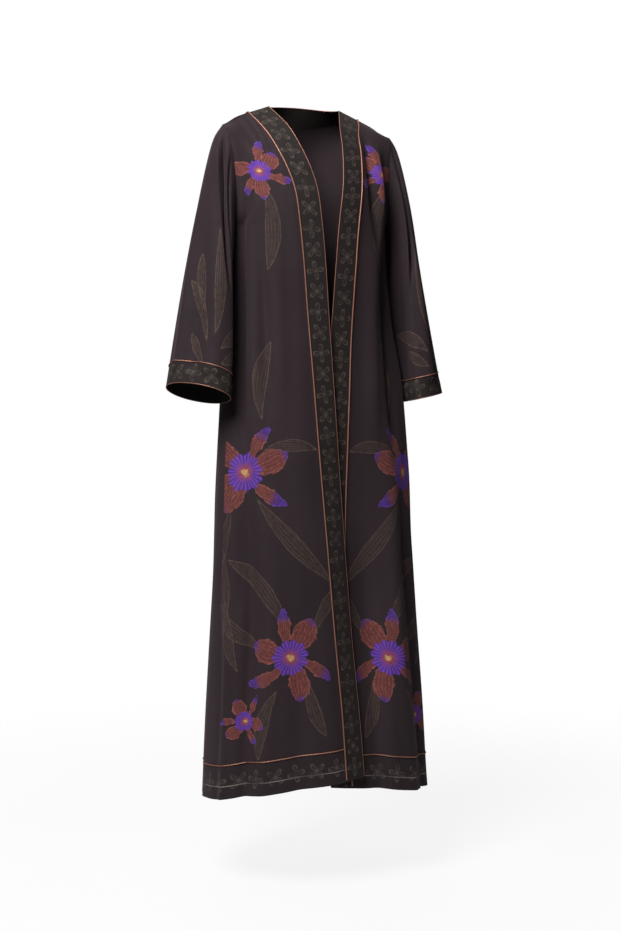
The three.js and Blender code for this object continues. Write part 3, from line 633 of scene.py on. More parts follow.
def sleeve_cloth(side):
    """One sleeve with its cuff; the first column is repeated at 360 degrees."""
    degrees = np.linspace(0, 360, SLEEVE_COLUMNS + 1)
    down = np.concatenate([np.linspace(0, 1, SLEEVE_ROWS + 1), np.linspace(1, 2, CUFF_ROWS + 1)[1:]])
    base, wanted = sleeve_base(side, degrees[:-1], down)
    facing = OUTWARD[side]
    normals = grid_normals(base, closed=True) * facing
    turn, level = degrees[None, :-1], down[:, None]
    depth = np.zeros(base.shape[:2])
    for c in each(SLEEVE_CREASES[side]):
        length = c["bottom"] - c["top"]
        run = smooth(c["top"], c["top"] + 0.3 * length, level)
        run = run * (1 - smooth(c["bottom"] - 0.3 * length, c["bottom"], level))
        part = np.clip((level - c["top"]) / length, 0, 1)
        away = (turn - mix(c["at_top"], c["at_bottom"], part) + 180) % 360 - 180
        depth += c["depth"] * run * np.exp(-((away / c["width"]) ** 2))
    points = rounded(side, base + normals * depth[..., None])
    normals = grid_normals(points, closed=True) * facing
    wrap = lambda v: np.concatenate([v, v[:, :1]], 1)
    points, normals = wrap(points), wrap(normals)
    lengths = row_lengths(points)
    middle = wanted[:, SLEEVE_COLUMNS // 4]
    return Cloth(points, normals, lengths, middle, closed=True, base=wrap(base))


def ribbon_points(side):
    """Band round the back neck, from the nape (first row) to the shoulder."""
    around = np.linspace(1, 0, NECK_ROWS + 1)[:, None]
    out = np.linspace(0, 1, BAND_COLUMNS + 1)[None]
    return neck_ribbon(side, around, out)


SHOULDER_SINK = 8.0
SHOULDER_REACH = 26.0


def rounded(side, points):
    """The cloth sinks a little round the shoulder point, where body and sleeve bend over it."""
    away = np.linalg.norm(points - np.array(SHOULDERS[side]), axis=-1)
    fall = SHOULDER_SINK * np.exp(-((away / SHOULDER_REACH) ** 2))
    return points - fall[..., None] * np.array([OUTWARD[side] * 0.45, 0, 0.9])


# ---- prints --------------------------------------------------------------------------------------
# Flowers and leaves of a common kind. A leaf or petal is a field over the cloth: how far along it a
# point is, how far across (-1 to 1), and how deep inside its outline in centimetres.
OUTSIDE = -3.0
FLOWERS = {
    "front": table(
        "a d radius turn",
        (58, -112, 66, 12),
        (158, 500, 108, 20),
        (96, 884, 100, -14),
        (206, 1002, 54, 40),
    ),
}
LEAVES = {
    "front": table(
        "a d heading length half bend layer",
        (62, -90, -12, 190, 16, 34, 0),
        (98, -150, 62, 118, 13, -48, 1),
        (140, 548, -30, 240, 17, -14, 0),
        (190, 548, 14, 220, 17, 30, 1),
        (118, 462, -108, 118, 13, 42, 0),
        (200, 430, 146, 160, 14, -46, 1),
        (110, 400, 172, 170, 15, 40, 0),
        (98, 830, 164, 200, 17, -40, 1),
        (144, 862, 112, 150, 15, 52, 0),
        (64, 930, 4, 128, 14, -34, 1),
        (128, 944, 40, 150, 15, -42, 0),
        (52, 850, 206, 150, 13, 26, 0),
        (206, 905, 160, 160, 15, 30, 1),
        (232, 640, -14, 190, 15, 36, 0),
    ),
    "sleeve": table(
        "a d heading length half bend layer",
        (62, 356, 172, 200, 16, 18, 0),
        (74, 378, 146, 120, 14, -30, 1),
        (46, 372, -164, 120, 13, 30, 1),
        (76, 404, 122, 70, 10, 30, 0),
        (44, 410, -128, 66, 10, -26, 1),
        (34, 322, -150, 104, 12, -34, 0),
        (250, 350, 176, 150, 14, 30, 0),
        (262, 372, 128, 100, 12, -40, 1),
    ),
}
PETAL_COUNT = 6
BROAD = dict(length=(0.8, 0.95), half=(0.22, 0.27), fullest=0.62)
NARROW = dict(length=(0.94, 1.14), half=(0.12, 0.15), fullest=0.66)
PETAL_SCATTER = 9
PETAL_BEND = 52
LEAF_FULLEST = 0.55
HEART_SHARE = 0.36
SPINE_POINTS = 26


def spine(a, d, heading, length, bend):
    """Bent line on the cloth; heading 0 is straight down, positive away from the front seam."""
    turn = np.radians(heading + bend * np.linspace(0, 1, SPINE_POINTS))
    step = length / (SPINE_POINTS - 1)
    run = np.stack([np.sin(turn), np.cos(turn)], 1) * step
    return np.array([a, d]) + np.concatenate([np.zeros((1, 2)), np.cumsum(run[:-1], 0)])


def draw(field, a, d, line, half, fullest):
    """Adds a leaf or petal along a line, widest at the share fullest of its length."""
    near = (a > line[:, 0].min() - 30) & (a < line[:, 0].max() + 30)
    near &= (d > line[:, 1].min() - 30) & (d < line[:, 1].max() + 30)
    if not near.any():
        return
    p = np.stack([a[near], d[near]], -1)[:, None]
    start, step = line[None, :-1], np.diff(line, axis=0)[None]
    share = np.clip(((p - start) * step).sum(-1) / (step**2).sum(-1), 0, 1)
    off = p - start - step * share[..., None]
    distance = np.linalg.norm(off, axis=-1)
    best = distance.argmin(1)
    pick = np.arange(len(p)), best
    s = (best + share[pick]) / (len(line) - 1)
    cross = step[0, best, 0] * off[pick][:, 1] - step[0, best, 1] * off[pick][:, 0]
    power = math.log(0.5) / math.log(fullest)
    wide = half * np.sin(math.pi * s**power) ** 0.85
    depth = (wide - distance[pick]) / 10
    t = np.clip(np.sign(cross) * distance[pick] / np.maximum(wide, 1), OUTSIDE, -OUTSIDE)
    new = np.stack([s, t, np.maximum(depth, OUTSIDE)], -1)
    field[near] = np.where((depth > field[near][:, 2])[:, None], new, field[near])


def print_on(cloth, kind):
    """Adds the fields of leaves, petals and flower hearts to a cloth; sleeves have leaves alone."""
    a = cloth.a
    d = np.repeat(cloth.d[:, None], a.shape[1], 1)
    around = [a, a - a[:, -1:]] if cloth.closed else [a]
    names = ("leaf_0", "leaf_1", "petal_0", "petal_1", "heart")
    cloth.fields.update({name: np.full(a.shape + (3,), OUTSIDE) for name in names})
    for leaf in each(LEAVES[kind]):
        line = spine(leaf["a"], leaf["d"], leaf["heading"], leaf["length"], leaf["bend"])
        for across in around:
            draw(cloth.fields["leaf_%d" % leaf["layer"]], across, d, line, leaf["half"], LEAF_FULLEST)
    random = np.random.default_rng(5)
    for flower in each(FLOWERS.get(kind, {})):
        radius = flower["radius"]
        for k in range(PETAL_COUNT):
            petal = BROAD if k % 2 == 0 else NARROW
            scatter = random.uniform(-PETAL_SCATTER, PETAL_SCATTER)
            heading = flower["turn"] + 360 / PETAL_COUNT * k + scatter
            length = radius * random.uniform(*petal["length"])
            half = radius * random.uniform(*petal["half"])
            bend = random.uniform(-PETAL_BEND, PETAL_BEND)
            line = spine(flower["a"], flower["d"], heading, length, bend)
            draw(cloth.fields["petal_%d" % (k % 2)], a, d, line, half, petal["fullest"])
        x, y = (a - flower["a"]) / radius / HEART_SHARE, (d - flower["d"]) / radius / HEART_SHARE
        inside = 2 - np.hypot(x, y)
        heart = cloth.fields["heart"]
        better = inside > heart[..., 2]
        heart[better] = np.stack([x, y, inside], -1)[better]


# ---- meshes ------------------------------------------------------------------------------------
CLOTH_THICKNESS = 1.1


def make_object(name, vertices, faces, uvs=None, normals=None):
    """Mesh object from points in millimetres, moved so that the nape is the origin, in metres."""
    mesh = bpy.data.meshes.new(name)
    vertices = (np.asarray(vertices, float) - NAPE) / 1000
    sizes = np.array([len(face) for face in faces])
    loops = np.concatenate(faces)
    mesh.vertices.add(len(vertices))
    mesh.vertices.foreach_set("co", vertices.ravel())
    mesh.loops.add(len(loops))
    mesh.loops.foreach_set("vertex_index", loops.astype(np.int32))
    mesh.polygons.add(len(sizes))
    starts = np.concatenate([[0], np.cumsum(sizes)[:-1]])
    mesh.polygons.foreach_set("loop_start", starts.astype(np.int32))
    mesh.polygons.foreach_set("loop_total", sizes.astype(np.int32))
    mesh.polygons.foreach_set("use_smooth", np.ones(len(sizes), bool))
    mesh.update(calc_edges=True)
    if uvs is not None:
        uvs = np.asarray(uvs, np.float32)
        if len(uvs) != len(loops):
            uvs = uvs[loops]
        mesh.uv_layers.new(name="cloth").uv.foreach_set("vector", uvs.ravel())
    mesh.validate()
    if normals is not None:
        mesh.normals_split_custom_set_from_vertices(normals)
    item = bpy.data.objects.new(name, mesh)
    bpy.context.scene.collection.objects.link(item)
    return item


def shell(name, cloth, rows, columns, facing):
    """Thin closed wall over part of a cloth grid; facing is 1 where rows x columns face out."""
    fields = {key: field[rows, columns] for key, field in cloth.fields.items()}
    points, normals = cloth.points[rows, columns], cloth.normals[rows, columns]
    a, d = cloth.a[rows, columns], np.repeat(cloth.d[rows][:, None], points.shape[1], 1)
    count_r, count_c = points.shape[:2]
    wrap = cloth.closed
    used = count_c - 1 if wrap else count_c
    layers = [points[:, :used], points[:, :used] - normals[:, :used] * CLOTH_THICKNESS]
    vertices = np.concatenate([layer.reshape(-1, 3) for layer in layers])
    vertex_normals = np.concatenate([normals[:, :used].reshape(-1, 3), -normals[:, :used].reshape(-1, 3)])
    r, c = np.meshgrid(np.arange(count_r - 1), np.arange(count_c - 1), indexing="ij")
    r, c = r.ravel(), c.ravel()
    index = lambda layer, i, j: layer * count_r * used + i * used + j % used
    corner = lambda i, j: np.stack([a[i, j], d[i, j]], -1) / 1000
    outer = np.stack([index(0, r, c), index(0, r + 1, c), index(0, r + 1, c + 1), index(0, r, c + 1)], 1)
    inner = np.stack([index(1, r, c), index(1, r, c + 1), index(1, r + 1, c + 1), index(1, r + 1, c)], 1)
    quads = [outer, inner]
    cells = [(r, c), (r + 1, c), (r + 1, c + 1), (r, c + 1)]
    uv_outer = np.stack([corner(i, j) for i, j in cells], 1)
    uv_inner = uv_outer[:, [0, 3, 2, 1]]
    uvs = [uv_outer, uv_inner]

    def rim(i0, j0, i1, j1):
        quads.append(np.stack([index(0, i0, j0), index(0, i1, j1), index(1, i1, j1), index(1, i0, j0)], 1))
        uvs.append(np.stack([corner(i0, j0), corner(i1, j1), corner(i1, j1), corner(i0, j0)], 1))

    cc, rr = np.arange(count_c - 1), np.arange(count_r - 1)
    zc, zr = np.zeros_like(cc), np.zeros_like(rr)
    rim(zc, cc, zc, cc + 1)
    rim(zc + count_r - 1, cc + 1, zc + count_r - 1, cc)
    if not wrap:
        rim(rr + 1, zr, rr, zr)
        rim(rr, zr + count_c - 1, rr + 1, zr + count_c - 1)
    quads, uvs = np.concatenate(quads), np.concatenate(uvs)
    if facing > 0:
        quads, uvs = quads[:, ::-1], uvs[:, ::-1]
    item = make_object(name, vertices, quads, uvs.reshape(-1, 2), vertex_normals)
    for key, field in fields.items():
        outside = field[:, :used].reshape(-1, 3)
        inside = np.full_like(outside, OUTSIDE)
        layer = item.data.attributes.new(key, "FLOAT_VECTOR", "POINT")
        layer.data.foreach_set("vector", np.concatenate([outside, inside]).astype(np.float32).ravel())
    return item


def cord(name, line, out, radius, pitch=5.0, step=1.7, sides=7, closed=False):
    """Twisted two-strand cord along a line of points, out being the direction off the cloth."""
    if closed:
        line, out = np.concatenate([line, line[:1]]), np.concatenate([out, out[:1]])
    lengths = np.concatenate([[0], np.cumsum(np.linalg.norm(np.diff(line, axis=0), axis=1))])
    count = max(int(lengths[-1] / step), 8)
    at = np.linspace(0, lengths[-1], count + 1)
    centre = np.stack([np.interp(at, lengths, line[:, k]) for k in range(3)], 1)
    off = unit(np.stack([np.interp(at, lengths, out[:, k]) for k in range(3)], 1))
    if closed:
        centre, off, at = centre[:-1], off[:-1], at[:-1]
        ahead, behind = np.roll(centre, -1, 0), np.roll(centre, 1, 0)
        run = unit(ahead - behind)
    else:
        run = unit(np.gradient(centre, axis=0))
    off = unit(off - run * (off * run).sum(1, keepdims=True))
    side = np.cross(run, off)
    turn = np.arange(sides) * 2 * math.pi / sides
    twist = 2 * math.pi * np.round(lengths[-1] / pitch) / lengths[-1] * at[:, None]
    r = radius * (0.86 + 0.14 * np.cos(2 * (turn[None] - twist)))
    ring = off[:, None] * np.cos(turn)[None, :, None] + side[:, None] * np.sin(turn)[None, :, None]
    vertices = centre[:, None] + ring * r[..., None]
    n = len(centre)
    spans = n if closed else n - 1
    i, k = np.meshgrid(np.arange(spans), np.arange(sides), indexing="ij")
    i, k = i.ravel(), k.ravel()
    index = lambda i, k: (i % n) * sides + k % sides
    quads = np.stack([index(i, k), index(i, k + 1), index(i + 1, k + 1), index(i + 1, k)], 1)
    faces = list(quads)
    if not closed:
        faces.append(np.arange(sides)[::-1])
        faces.append((n - 1) * sides + np.arange(sides))
    uvs = np.stack([np.repeat(at, sides), np.tile(turn * radius, n)], 1) / 1000
    return make_object(name, vertices.reshape(-1, 3), faces, uvs)


# ---- materials ---------------------------------------------------------------------------------
class Nodes:
    """Small helper to build a node material."""

    def __init__(self, name):
        self.material = bpy.data.materials.new(name)
        self.material.use_nodes = True
        self.tree = self.material.node_tree
        self.shader = self.tree.nodes["Principled BSDF"]

    def add(self, kind, **values):
        node = self.tree.nodes.new(kind)
        for name, value in values.items():
            if hasattr(node, name):
                setattr(node, name, value)
            else:
                node.inputs[name.replace("_", " ").title()].default_value = value
        return node

    def link(self, source, target):
        self.tree.links.new(source, target)

    def scaled(self, source, scale):
        node = self.add("ShaderNodeMapping")
        node.inputs["Scale"].default_value = scale
        self.link(source, node.inputs["Vector"])
        return node.outputs["Vector"]

    def noise(self, vector, scale, detail=3.0, roughness=0.55):
        node = self.add("ShaderNodeTexNoise")
        node.inputs["Scale"].default_value = scale
        node.inputs["Detail"].default_value = detail
        node.inputs["Roughness"].default_value = roughness
        self.link(vector, node.inputs["Vector"])
        return node.outputs["Fac"]

    def ramp(self, factor, *stops):
        node = self.add("ShaderNodeValToRGB")
        ramp = node.color_ramp
        while len(ramp.elements) < len(stops):
            ramp.elements.new(0.5)
        for element, (at, colour) in zip(ramp.elements, stops):
            element.position = at
            element.color = (*colour, 1)
        self.link(factor, node.inputs["Fac"])
        return node.outputs["Color"]

    def blend(self, factor, a, b, mode="MIX"):
        node = self.add("ShaderNodeMix", data_type="RGBA", blend_type=mode)
        for socket, value in ((node.inputs["Factor"], factor), (node.inputs[6], a), (node.inputs[7], b)):
            if isinstance(value, (int, float)):
                socket.default_value = value
            elif isinstance(value, tuple):
                socket.default_value = (*value, 1)
            else:
                self.link(value, socket)
        return node.outputs[2]

    def maths(self, operation, a, b=0.0):
        node = self.add("ShaderNodeMath", operation=operation)
        for socket, value in zip(node.inputs, (a, b)):
            if isinstance(value, (int, float)):
                socket.default_value = value
            else:
                self.link(value, socket)
        return node.outputs[0]

    def times(self, a, b):
        return self.maths("MULTIPLY", a, b)

    def plus(self, a, b):
        return self.maths("ADD", a, b)

    def minus(self, a, b):
        return self.maths("SUBTRACT", a, b)

    def invert(self, a):
        return self.minus(1.0, a)

    def apart(self, a, b):
        return self.maths("ABSOLUTE", self.minus(a, b))

    def length(self, x, y):
        return self.maths("SQRT", self.plus(self.times(x, x), self.times(y, y)))

    def bump(self, height, strength, distance, normal=None):
        node = self.add("ShaderNodeBump")
        node.inputs["Strength"].default_value = strength
        node.inputs["Distance"].default_value = distance
        self.link(height, node.inputs["Height"])
        if normal is not None:
            self.link(normal, node.inputs["Normal"])
        return node.outputs["Normal"]

    def cloth_uv(self):
        return self.add("ShaderNodeUVMap", uv_map="cloth").outputs["UV"]

    def place(self):
        return self.add("ShaderNodeTexCoord").outputs["Object"]

    def attribute(self, name):
        vector = self.add("ShaderNodeAttribute", attribute_name=name).outputs["Vector"]
        return self.split(vector)

    def split(self, vector):
        node = self.add("ShaderNodeSeparateXYZ")
        self.link(vector, node.inputs[0])
        return node.outputs

    def step(self, value, low, high):
        """0 below low, 1 above high, smooth between."""
        node = self.add("ShaderNodeMapRange", interpolation_type="SMOOTHSTEP")
        self.link(value, node.inputs["Value"])
        node.inputs["From Min"].default_value = low
        node.inputs["From Max"].default_value = high
        return node.outputs["Result"]

    def wave(self, value, count):
        """Stripes from 0 to 1, count of them for each unit of value."""
        angle = self.times(value, 2 * math.pi * count)
        return self.plus(self.times(self.maths("SINE", angle), 0.5), 0.5)


def crepe(name, dark, light, sheen_tint, sheen, decorate=None):
    """Fine matte crepe: pebbled yarns, slight slub, slow unevenness of dye."""
    n = Nodes(name)
    uv, place = n.cloth_uv(), n.place()
    slow = n.noise(place, 5.0, 4.0)
    yarn = n.noise(n.scaled(uv, (1500, 500, 1)), 1.0, 2.0)
    weft = n.noise(n.scaled(uv, (350, 1700, 1)), 1.0, 2.0)
    weave = n.plus(yarn, weft)
    grain = n.noise(place, 330.0, 3.0, 0.7)
    tone = n.plus(n.times(slow, 0.6), n.times(weave, 0.14))
    tone = n.plus(tone, n.times(grain, 0.26))
    colour = n.ramp(tone, (0.36, dark), (0.72, light))
    if decorate:
        colour = decorate(n, colour)
    n.link(colour, n.shader.inputs["Base Color"])
    rough = n.ramp(n.noise(place, 40.0), (0.3, (0.78,) * 3), (0.7, (0.9,) * 3))
    n.link(rough, n.shader.inputs["Roughness"])
    fine = n.bump(weave, 0.35, 0.0002)
    n.link(n.bump(n.noise(place, 60.0, 3.0), 0.12, 0.0012, fine), n.shader.inputs["Normal"])
    n.shader.inputs["Specular IOR Level"].default_value = 0.2
    n.shader.inputs["Sheen Weight"].default_value = sheen
    n.shader.inputs["Sheen Roughness"].default_value = 0.5
    n.shader.inputs["Sheen Tint"].default_value = (*sheen_tint, 1)
    return n.material


OLIVE = (0.090, 0.068, 0.056)
GHOST = (0.064, 0.042, 0.030)
RUST = (0.125, 0.030, 0.025)
RUST_LINE = (0.235, 0.072, 0.058)
VIOLET = (0.052, 0.017, 0.17)
VIOLET_LINE = (0.105, 0.038, 0.30)
# Pale colour of the hem's stitch row: painted light, standing for light that shows through the hem's single
# layer.
SHOW_THROUGH_THREAD = (0.26, 0.23, 0.21)
ROSE = (0.19, 0.04, 0.075)
YELLOW = (0.42, 0.25, 0.09)


LEAF_LINES = 2.4
PETAL_LINES = 3.1
HEART_FRILLS = 11.0
HEART_RAYS = 26


def hatch(n, field, count, wobble, ragged):
    """Masks of one layer of leaves or petals: inside, outline and the lines that run along it."""
    s, t, depth = n.attribute(field)
    depth = n.plus(depth, n.times(n.minus(wobble, 0.5), ragged))
    inside = n.step(depth, 0.0, 0.06)
    outline = n.times(inside, n.invert(n.step(n.apart(depth, 0.12), 0.05, 0.14)))
    bent = n.plus(t, n.times(wobble, 0.5))
    lines = n.times(inside, n.step(n.wave(bent, count), 0.55, 0.9))
    return s, inside, outline, lines


def leaves(n, colour, wobble, patch):
    """Ghost leaves in fine lines over a faint fill."""
    for field in ("leaf_0", "leaf_1"):
        _, inside, outline, lines = hatch(n, field, LEAF_LINES, wobble, 0.5)
        ink = n.maths("MAXIMUM", outline, n.times(lines, 0.55))
        ink = n.maths("MAXIMUM", ink, n.times(inside, 0.16))
        ink = n.times(ink, n.step(patch, 0.15, 0.6))
        colour = n.blend(n.times(ink, 0.95), colour, GHOST)
    return colour


def petals(n, colour, wobble, frilly, patch, grain):
    """Hatched petals, rust at the root and violet from the given share of their length."""
    for field, violet in (("petal_0", 0.96), ("petal_1", 0.8)):
        s, inside, outline, lines = hatch(n, field, PETAL_LINES, frilly, 1.5)
        tip = n.step(n.plus(s, n.times(wobble, 0.3)), violet, violet + 0.22)
        worn = n.times(inside, n.plus(0.25, n.times(patch, 0.72)))
        colour = n.blend(worn, colour, n.blend(tip, RUST, VIOLET))
        ink = n.maths("MAXIMUM", outline, n.times(lines, 0.55))
        ink = n.times(ink, n.step(n.plus(grain, n.times(patch, 0.6)), 0.55, 1.0))
        colour = n.blend(n.times(ink, 0.85), colour, n.blend(tip, RUST_LINE, VIOLET_LINE))
    return colour


def hearts(n, colour, wobble, frilly, patch, grain):
    """Ruffled violet hearts with fine rays round a rose and yellow middle."""
    x, y, near = n.attribute("heart")
    radius, angle = n.length(x, y), n.maths("ARCTAN2", y, x)
    frill = n.times(n.maths("SINE", n.times(angle, HEART_FRILLS)), 0.07)
    ragged = n.plus(frill, n.plus(n.times(wobble, 0.3), n.times(frilly, 0.4)))
    edge = n.plus(radius, n.minus(ragged, 0.34))
    inside = n.times(n.step(near, 0.0, 0.1), n.invert(n.step(edge, 0.94, 1.0)))
    rays = n.plus(n.wave(angle, HEART_RAYS / (2 * math.pi)), n.times(grain, 0.5))
    ruffle = n.blend(n.step(rays, 0.5, 1.1), VIOLET, VIOLET_LINE)
    middle = n.blend(n.step(n.plus(radius, n.times(grain, 0.4)), 0.42, 0.8), ROSE, ruffle)
    middle = n.blend(n.step(n.plus(radius, n.times(patch, 0.5)), 0.34, 0.5), YELLOW, middle)
    worn = n.times(inside, n.plus(0.5, n.times(n.step(grain, 0.25, 0.6), 0.45)))
    return n.blend(worn, colour, middle)


def printed(n, cloth):
    """Leaves, petals and hearts, one over the other."""
    place = n.place()
    wobble = n.noise(n.scaled(n.cloth_uv(), (26, 26, 26)), 1.0, 2.0)
    frilly = n.noise(n.scaled(n.cloth_uv(), (85, 85, 85)), 1.0, 3.0)
    patch = n.noise(place, 120.0, 2.0)
    grain = n.noise(place, 420.0, 2.0)
    colour = leaves(n, cloth, wobble, patch)
    colour = petals(n, colour, wobble, frilly, patch, grain)
    return hearts(n, colour, wobble, frilly, patch, grain)


# Blossom petals, in metres: middle and half length outward, half width at the root and its growth.
BLOSSOM_MIDDLE = 0.0092
BLOSSOM_HALF = 0.0082
BLOSSOM_ROOT = 0.0022
BLOSSOM_SPREAD = 0.17
BLOSSOM_INK = 0.6
STITCH_PITCH = 0.0034


def show_through_stitches(n, colour, u, v, row):
    """A dashed row of pale thread that comes and goes: painted light, the pale streak where light shows
    through the hem's single layer, with painted shine that comes and goes.
    """
    thread = n.invert(n.step(n.apart(v, row), 0.0006, 0.0011))
    dash = n.step(n.maths("FRACT", n.maths("DIVIDE", u, STITCH_PITCH)), 0.2, 0.3)
    # Painted shine: the pale row fades and returns, standing for light that shows through the thin hem.
    shine = n.step(n.noise(n.scaled(n.cloth_uv(), (9, 9, 9)), 1.0, 1.0), 0.42, 0.6)
    shine = n.plus(0.08, n.times(shine, 0.7))
    return n.blend(n.times(n.times(thread, dash), shine), colour, SHOW_THROUGH_THREAD)


def blossoms(lengthwise, centre, pitch, show_through_row=None):
    """Small four-petal line blossoms in a row, every other one turned by an eighth."""

    def decorate(n, cloth):
        u, v, _ = n.split(n.cloth_uv())
        run, across = (v, u) if lengthwise else (u, v)
        across = n.minus(across, centre)
        cell = n.maths("DIVIDE", run, pitch)
        number = n.maths("FLOOR", cell)
        y = n.times(n.minus(n.maths("FRACT", cell), 0.5), pitch)
        turned = n.times(n.maths("FLOORED_MODULO", number, 2.0), math.pi / 4)
        own = n.add("ShaderNodeTexWhiteNoise", noise_dimensions="1D")
        n.link(number, own.inputs["W"])
        jitter = n.times(n.minus(own.outputs["Value"], 0.5), 0.4)
        angle = n.plus(n.maths("ARCTAN2", y, across), n.plus(turned, jitter))
        radius = n.length(y, across)
        fold = n.maths("PINGPONG", angle, math.pi / 4)
        out = n.times(radius, n.maths("COSINE", fold))
        aside = n.times(radius, n.maths("SINE", fold))
        wobble = n.noise(n.scaled(n.cloth_uv(), (150, 150, 150)), 1.0, 1.0)
        far = n.maths("DIVIDE", n.minus(out, BLOSSOM_MIDDLE), BLOSSOM_HALF)
        wide = n.maths("DIVIDE", aside, n.plus(BLOSSOM_ROOT, n.times(out, BLOSSOM_SPREAD)))
        ring = n.plus(n.length(far, wide), n.times(n.minus(wobble, 0.5), 0.35))
        line = n.invert(n.step(n.apart(ring, 1.0), 0.1, 0.24))
        vein = n.times(n.step(n.invert(ring), 0.0, 0.1), n.invert(n.step(wide, 0.08, 0.25)))
        ink = n.maths("MAXIMUM", line, n.times(vein, 0.6))
        ink = n.times(ink, n.step(n.noise(n.place(), 90.0), 0.25, 0.6))
        ink = n.times(ink, n.step(n.attribute("face")[0], 0.0, 1.0))
        colour = n.blend(n.times(ink, BLOSSOM_INK), cloth, OLIVE)
        # On the hem, the pale stitch row is painted light that shows through the hem's single layer.
        return show_through_stitches(n, colour, u, v, show_through_row) if show_through_row else colour

    return decorate


COPPER = (0.25, 0.105, 0.072)


def metallic_cord(name):
    """Fine strands of copper-coloured thread, worn unevenly."""
    n = Nodes(name)
    uv, place = n.cloth_uv(), n.place()
    strands = n.noise(n.scaled(uv, (700, 2600, 1)), 1.0, 2.0)
    dark, middle, light = (0.15, 0.055, 0.036), (0.30, 0.14, 0.095), (0.52, 0.30, 0.22)
    colour = n.ramp(strands, (0.3, dark), (0.55, middle), (0.75, light))
    n.link(n.blend(n.noise(place, 9.0), colour, COPPER), n.shader.inputs["Base Color"])
    n.shader.inputs["Metallic"].default_value = 0.6
    n.shader.inputs["Roughness"].default_value = 0.5
    n.link(n.bump(strands, 0.5, 0.0003), n.shader.inputs["Normal"])
    return n.material


MM = 0.001
BLOSSOM_PITCH = 0.0415
# Height above the hem of the pale stitch row, which is painted light showing through the hem's single layer.
HEM_SHOW_THROUGH_UP = 26
# Crepes: dark and light dye, tint and weight of the sheen.
PLUM = (0.0118, 0.0066, 0.0080), (0.0192, 0.0114, 0.0140), (0.8, 0.58, 0.70), 0.05
BROWN_BLACK = (0.0085, 0.0058, 0.0056), (0.0138, 0.0098, 0.0094), (0.75, 0.62, 0.58), 0.035
HEM_PLUM = (0.0106, 0.0062, 0.0070), (0.0168, 0.0104, 0.0120), (0.8, 0.6, 0.68), 0.045
HEM_MIDDLE = SKIRT_LENGTH * (1 + HEM_SEAM) / 2 * MM
HEM_SHOW_THROUGH_ROW = (SKIRT_LENGTH - HEM_SHOW_THROUGH_UP) * MM
PLAIN_CLOTH = crepe("plum_crepe", *PLUM)
PRINTED_CLOTH = crepe("plum_crepe_printed", *PLUM, decorate=printed)
BAND_BLOSSOMS = blossoms(True, -BAND_WIDTH / 2 * MM, BLOSSOM_PITCH)
BAND_CLOTH = crepe("black_brown_crepe", *BROWN_BLACK, decorate=BAND_BLOSSOMS)
# The hem band's blossoms, plus its pale stitch row painted as light showing through the hem's single layer.
HEM_BLOSSOMS = blossoms(False, HEM_MIDDLE, BLOSSOM_PITCH, HEM_SHOW_THROUGH_ROW)
HEM_CLOTH = crepe("plum_hem_crepe", *HEM_PLUM, decorate=HEM_BLOSSOMS)
COPPER_CORD = metallic_cord("copper_cord")


# ---- pieces ------------------------------------------------------------------------------------
ALL = slice(None)
ABOVE_HEM = slice(0, HEM_ROW + 1)
BELOW_HEM = slice(HEM_ROW, None)
# Cords: lift of the middle off the cloth, distance beyond its edge, and radius.
SEAM_CORD = dict(lift=1.1, beyond=0, radius=1.7)
EDGE_CORD = dict(lift=-0.5, beyond=0.8, radius=0.95)
HEM_CORD = dict(lift=0.6, radius=1.35)
CUFF_CORD = dict(lift=0.55, beyond=0, radius=1.3)


def dress(item, material, node):
    item.data.materials.append(material)
    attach(item, "root")
    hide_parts(node)


def cloth_piece(node, cloth, rows, columns, facing, material):
    """One cut piece with its wall; its flat size is worked out but not used."""
    item = shell("cloth_" + node, cloth, rows, columns, facing)
    dress(item, material, node)
    width, length, area = cut_size(cloth, rows, columns)


def cord_piece(node, line, out, radius, closed=False):
    dress(cord("cord_" + node, line, out, radius, closed=closed), COPPER_CORD, node)


def hem_cord(node, cloth, columns):
    out = cloth.normals[HEM_ROW, columns]
    line = cloth.points[HEM_ROW, columns] + out * HEM_CORD["lift"]
    cord_piece(node, line, out, HEM_CORD["radius"])


def front_pieces(side):
    """A front with its hem band, and the band from the nape down its edge, with their cords."""
    facing = 1 if side == "right" else -1
    front = front_cloth(side)
    print_on(front, "front")
    panel = slice(BAND_COLUMNS, None)
    cloth_piece("front_" + side, front, ABOVE_HEM, panel, facing, PRINTED_CLOTH)
    cloth_piece("hem_band_" + side, front, BELOW_HEM, panel, facing, HEM_CLOTH)
    points = np.concatenate([ribbon_points(side)[:-1], front.points[:, : BAND_COLUMNS + 1]])
    normals = grid_normals(points) * -OUTWARD[side]
    lengths = row_lengths(points)
    d = row_lengths(points[None, :, BAND_COLUMNS // 2])[0]
    band = Cloth(points, normals, lengths - lengths[:, -1:], d)
    cloth_piece("band_" + side, band, ALL, ALL, facing, BAND_CLOTH)
    away = unit(points[:, 0] - points[:, 1])
    for name, column, size in (("piping_seam_", -1, SEAM_CORD), ("piping_edge_", 0, EDGE_CORD)):
        line = points[:, column] + normals[:, column] * size["lift"] + away * size["beyond"]
        cord_piece(name + side, line[:-1], normals[:-1, column], size["radius"])
    hem_cord("piping_hem_" + side, front, panel)


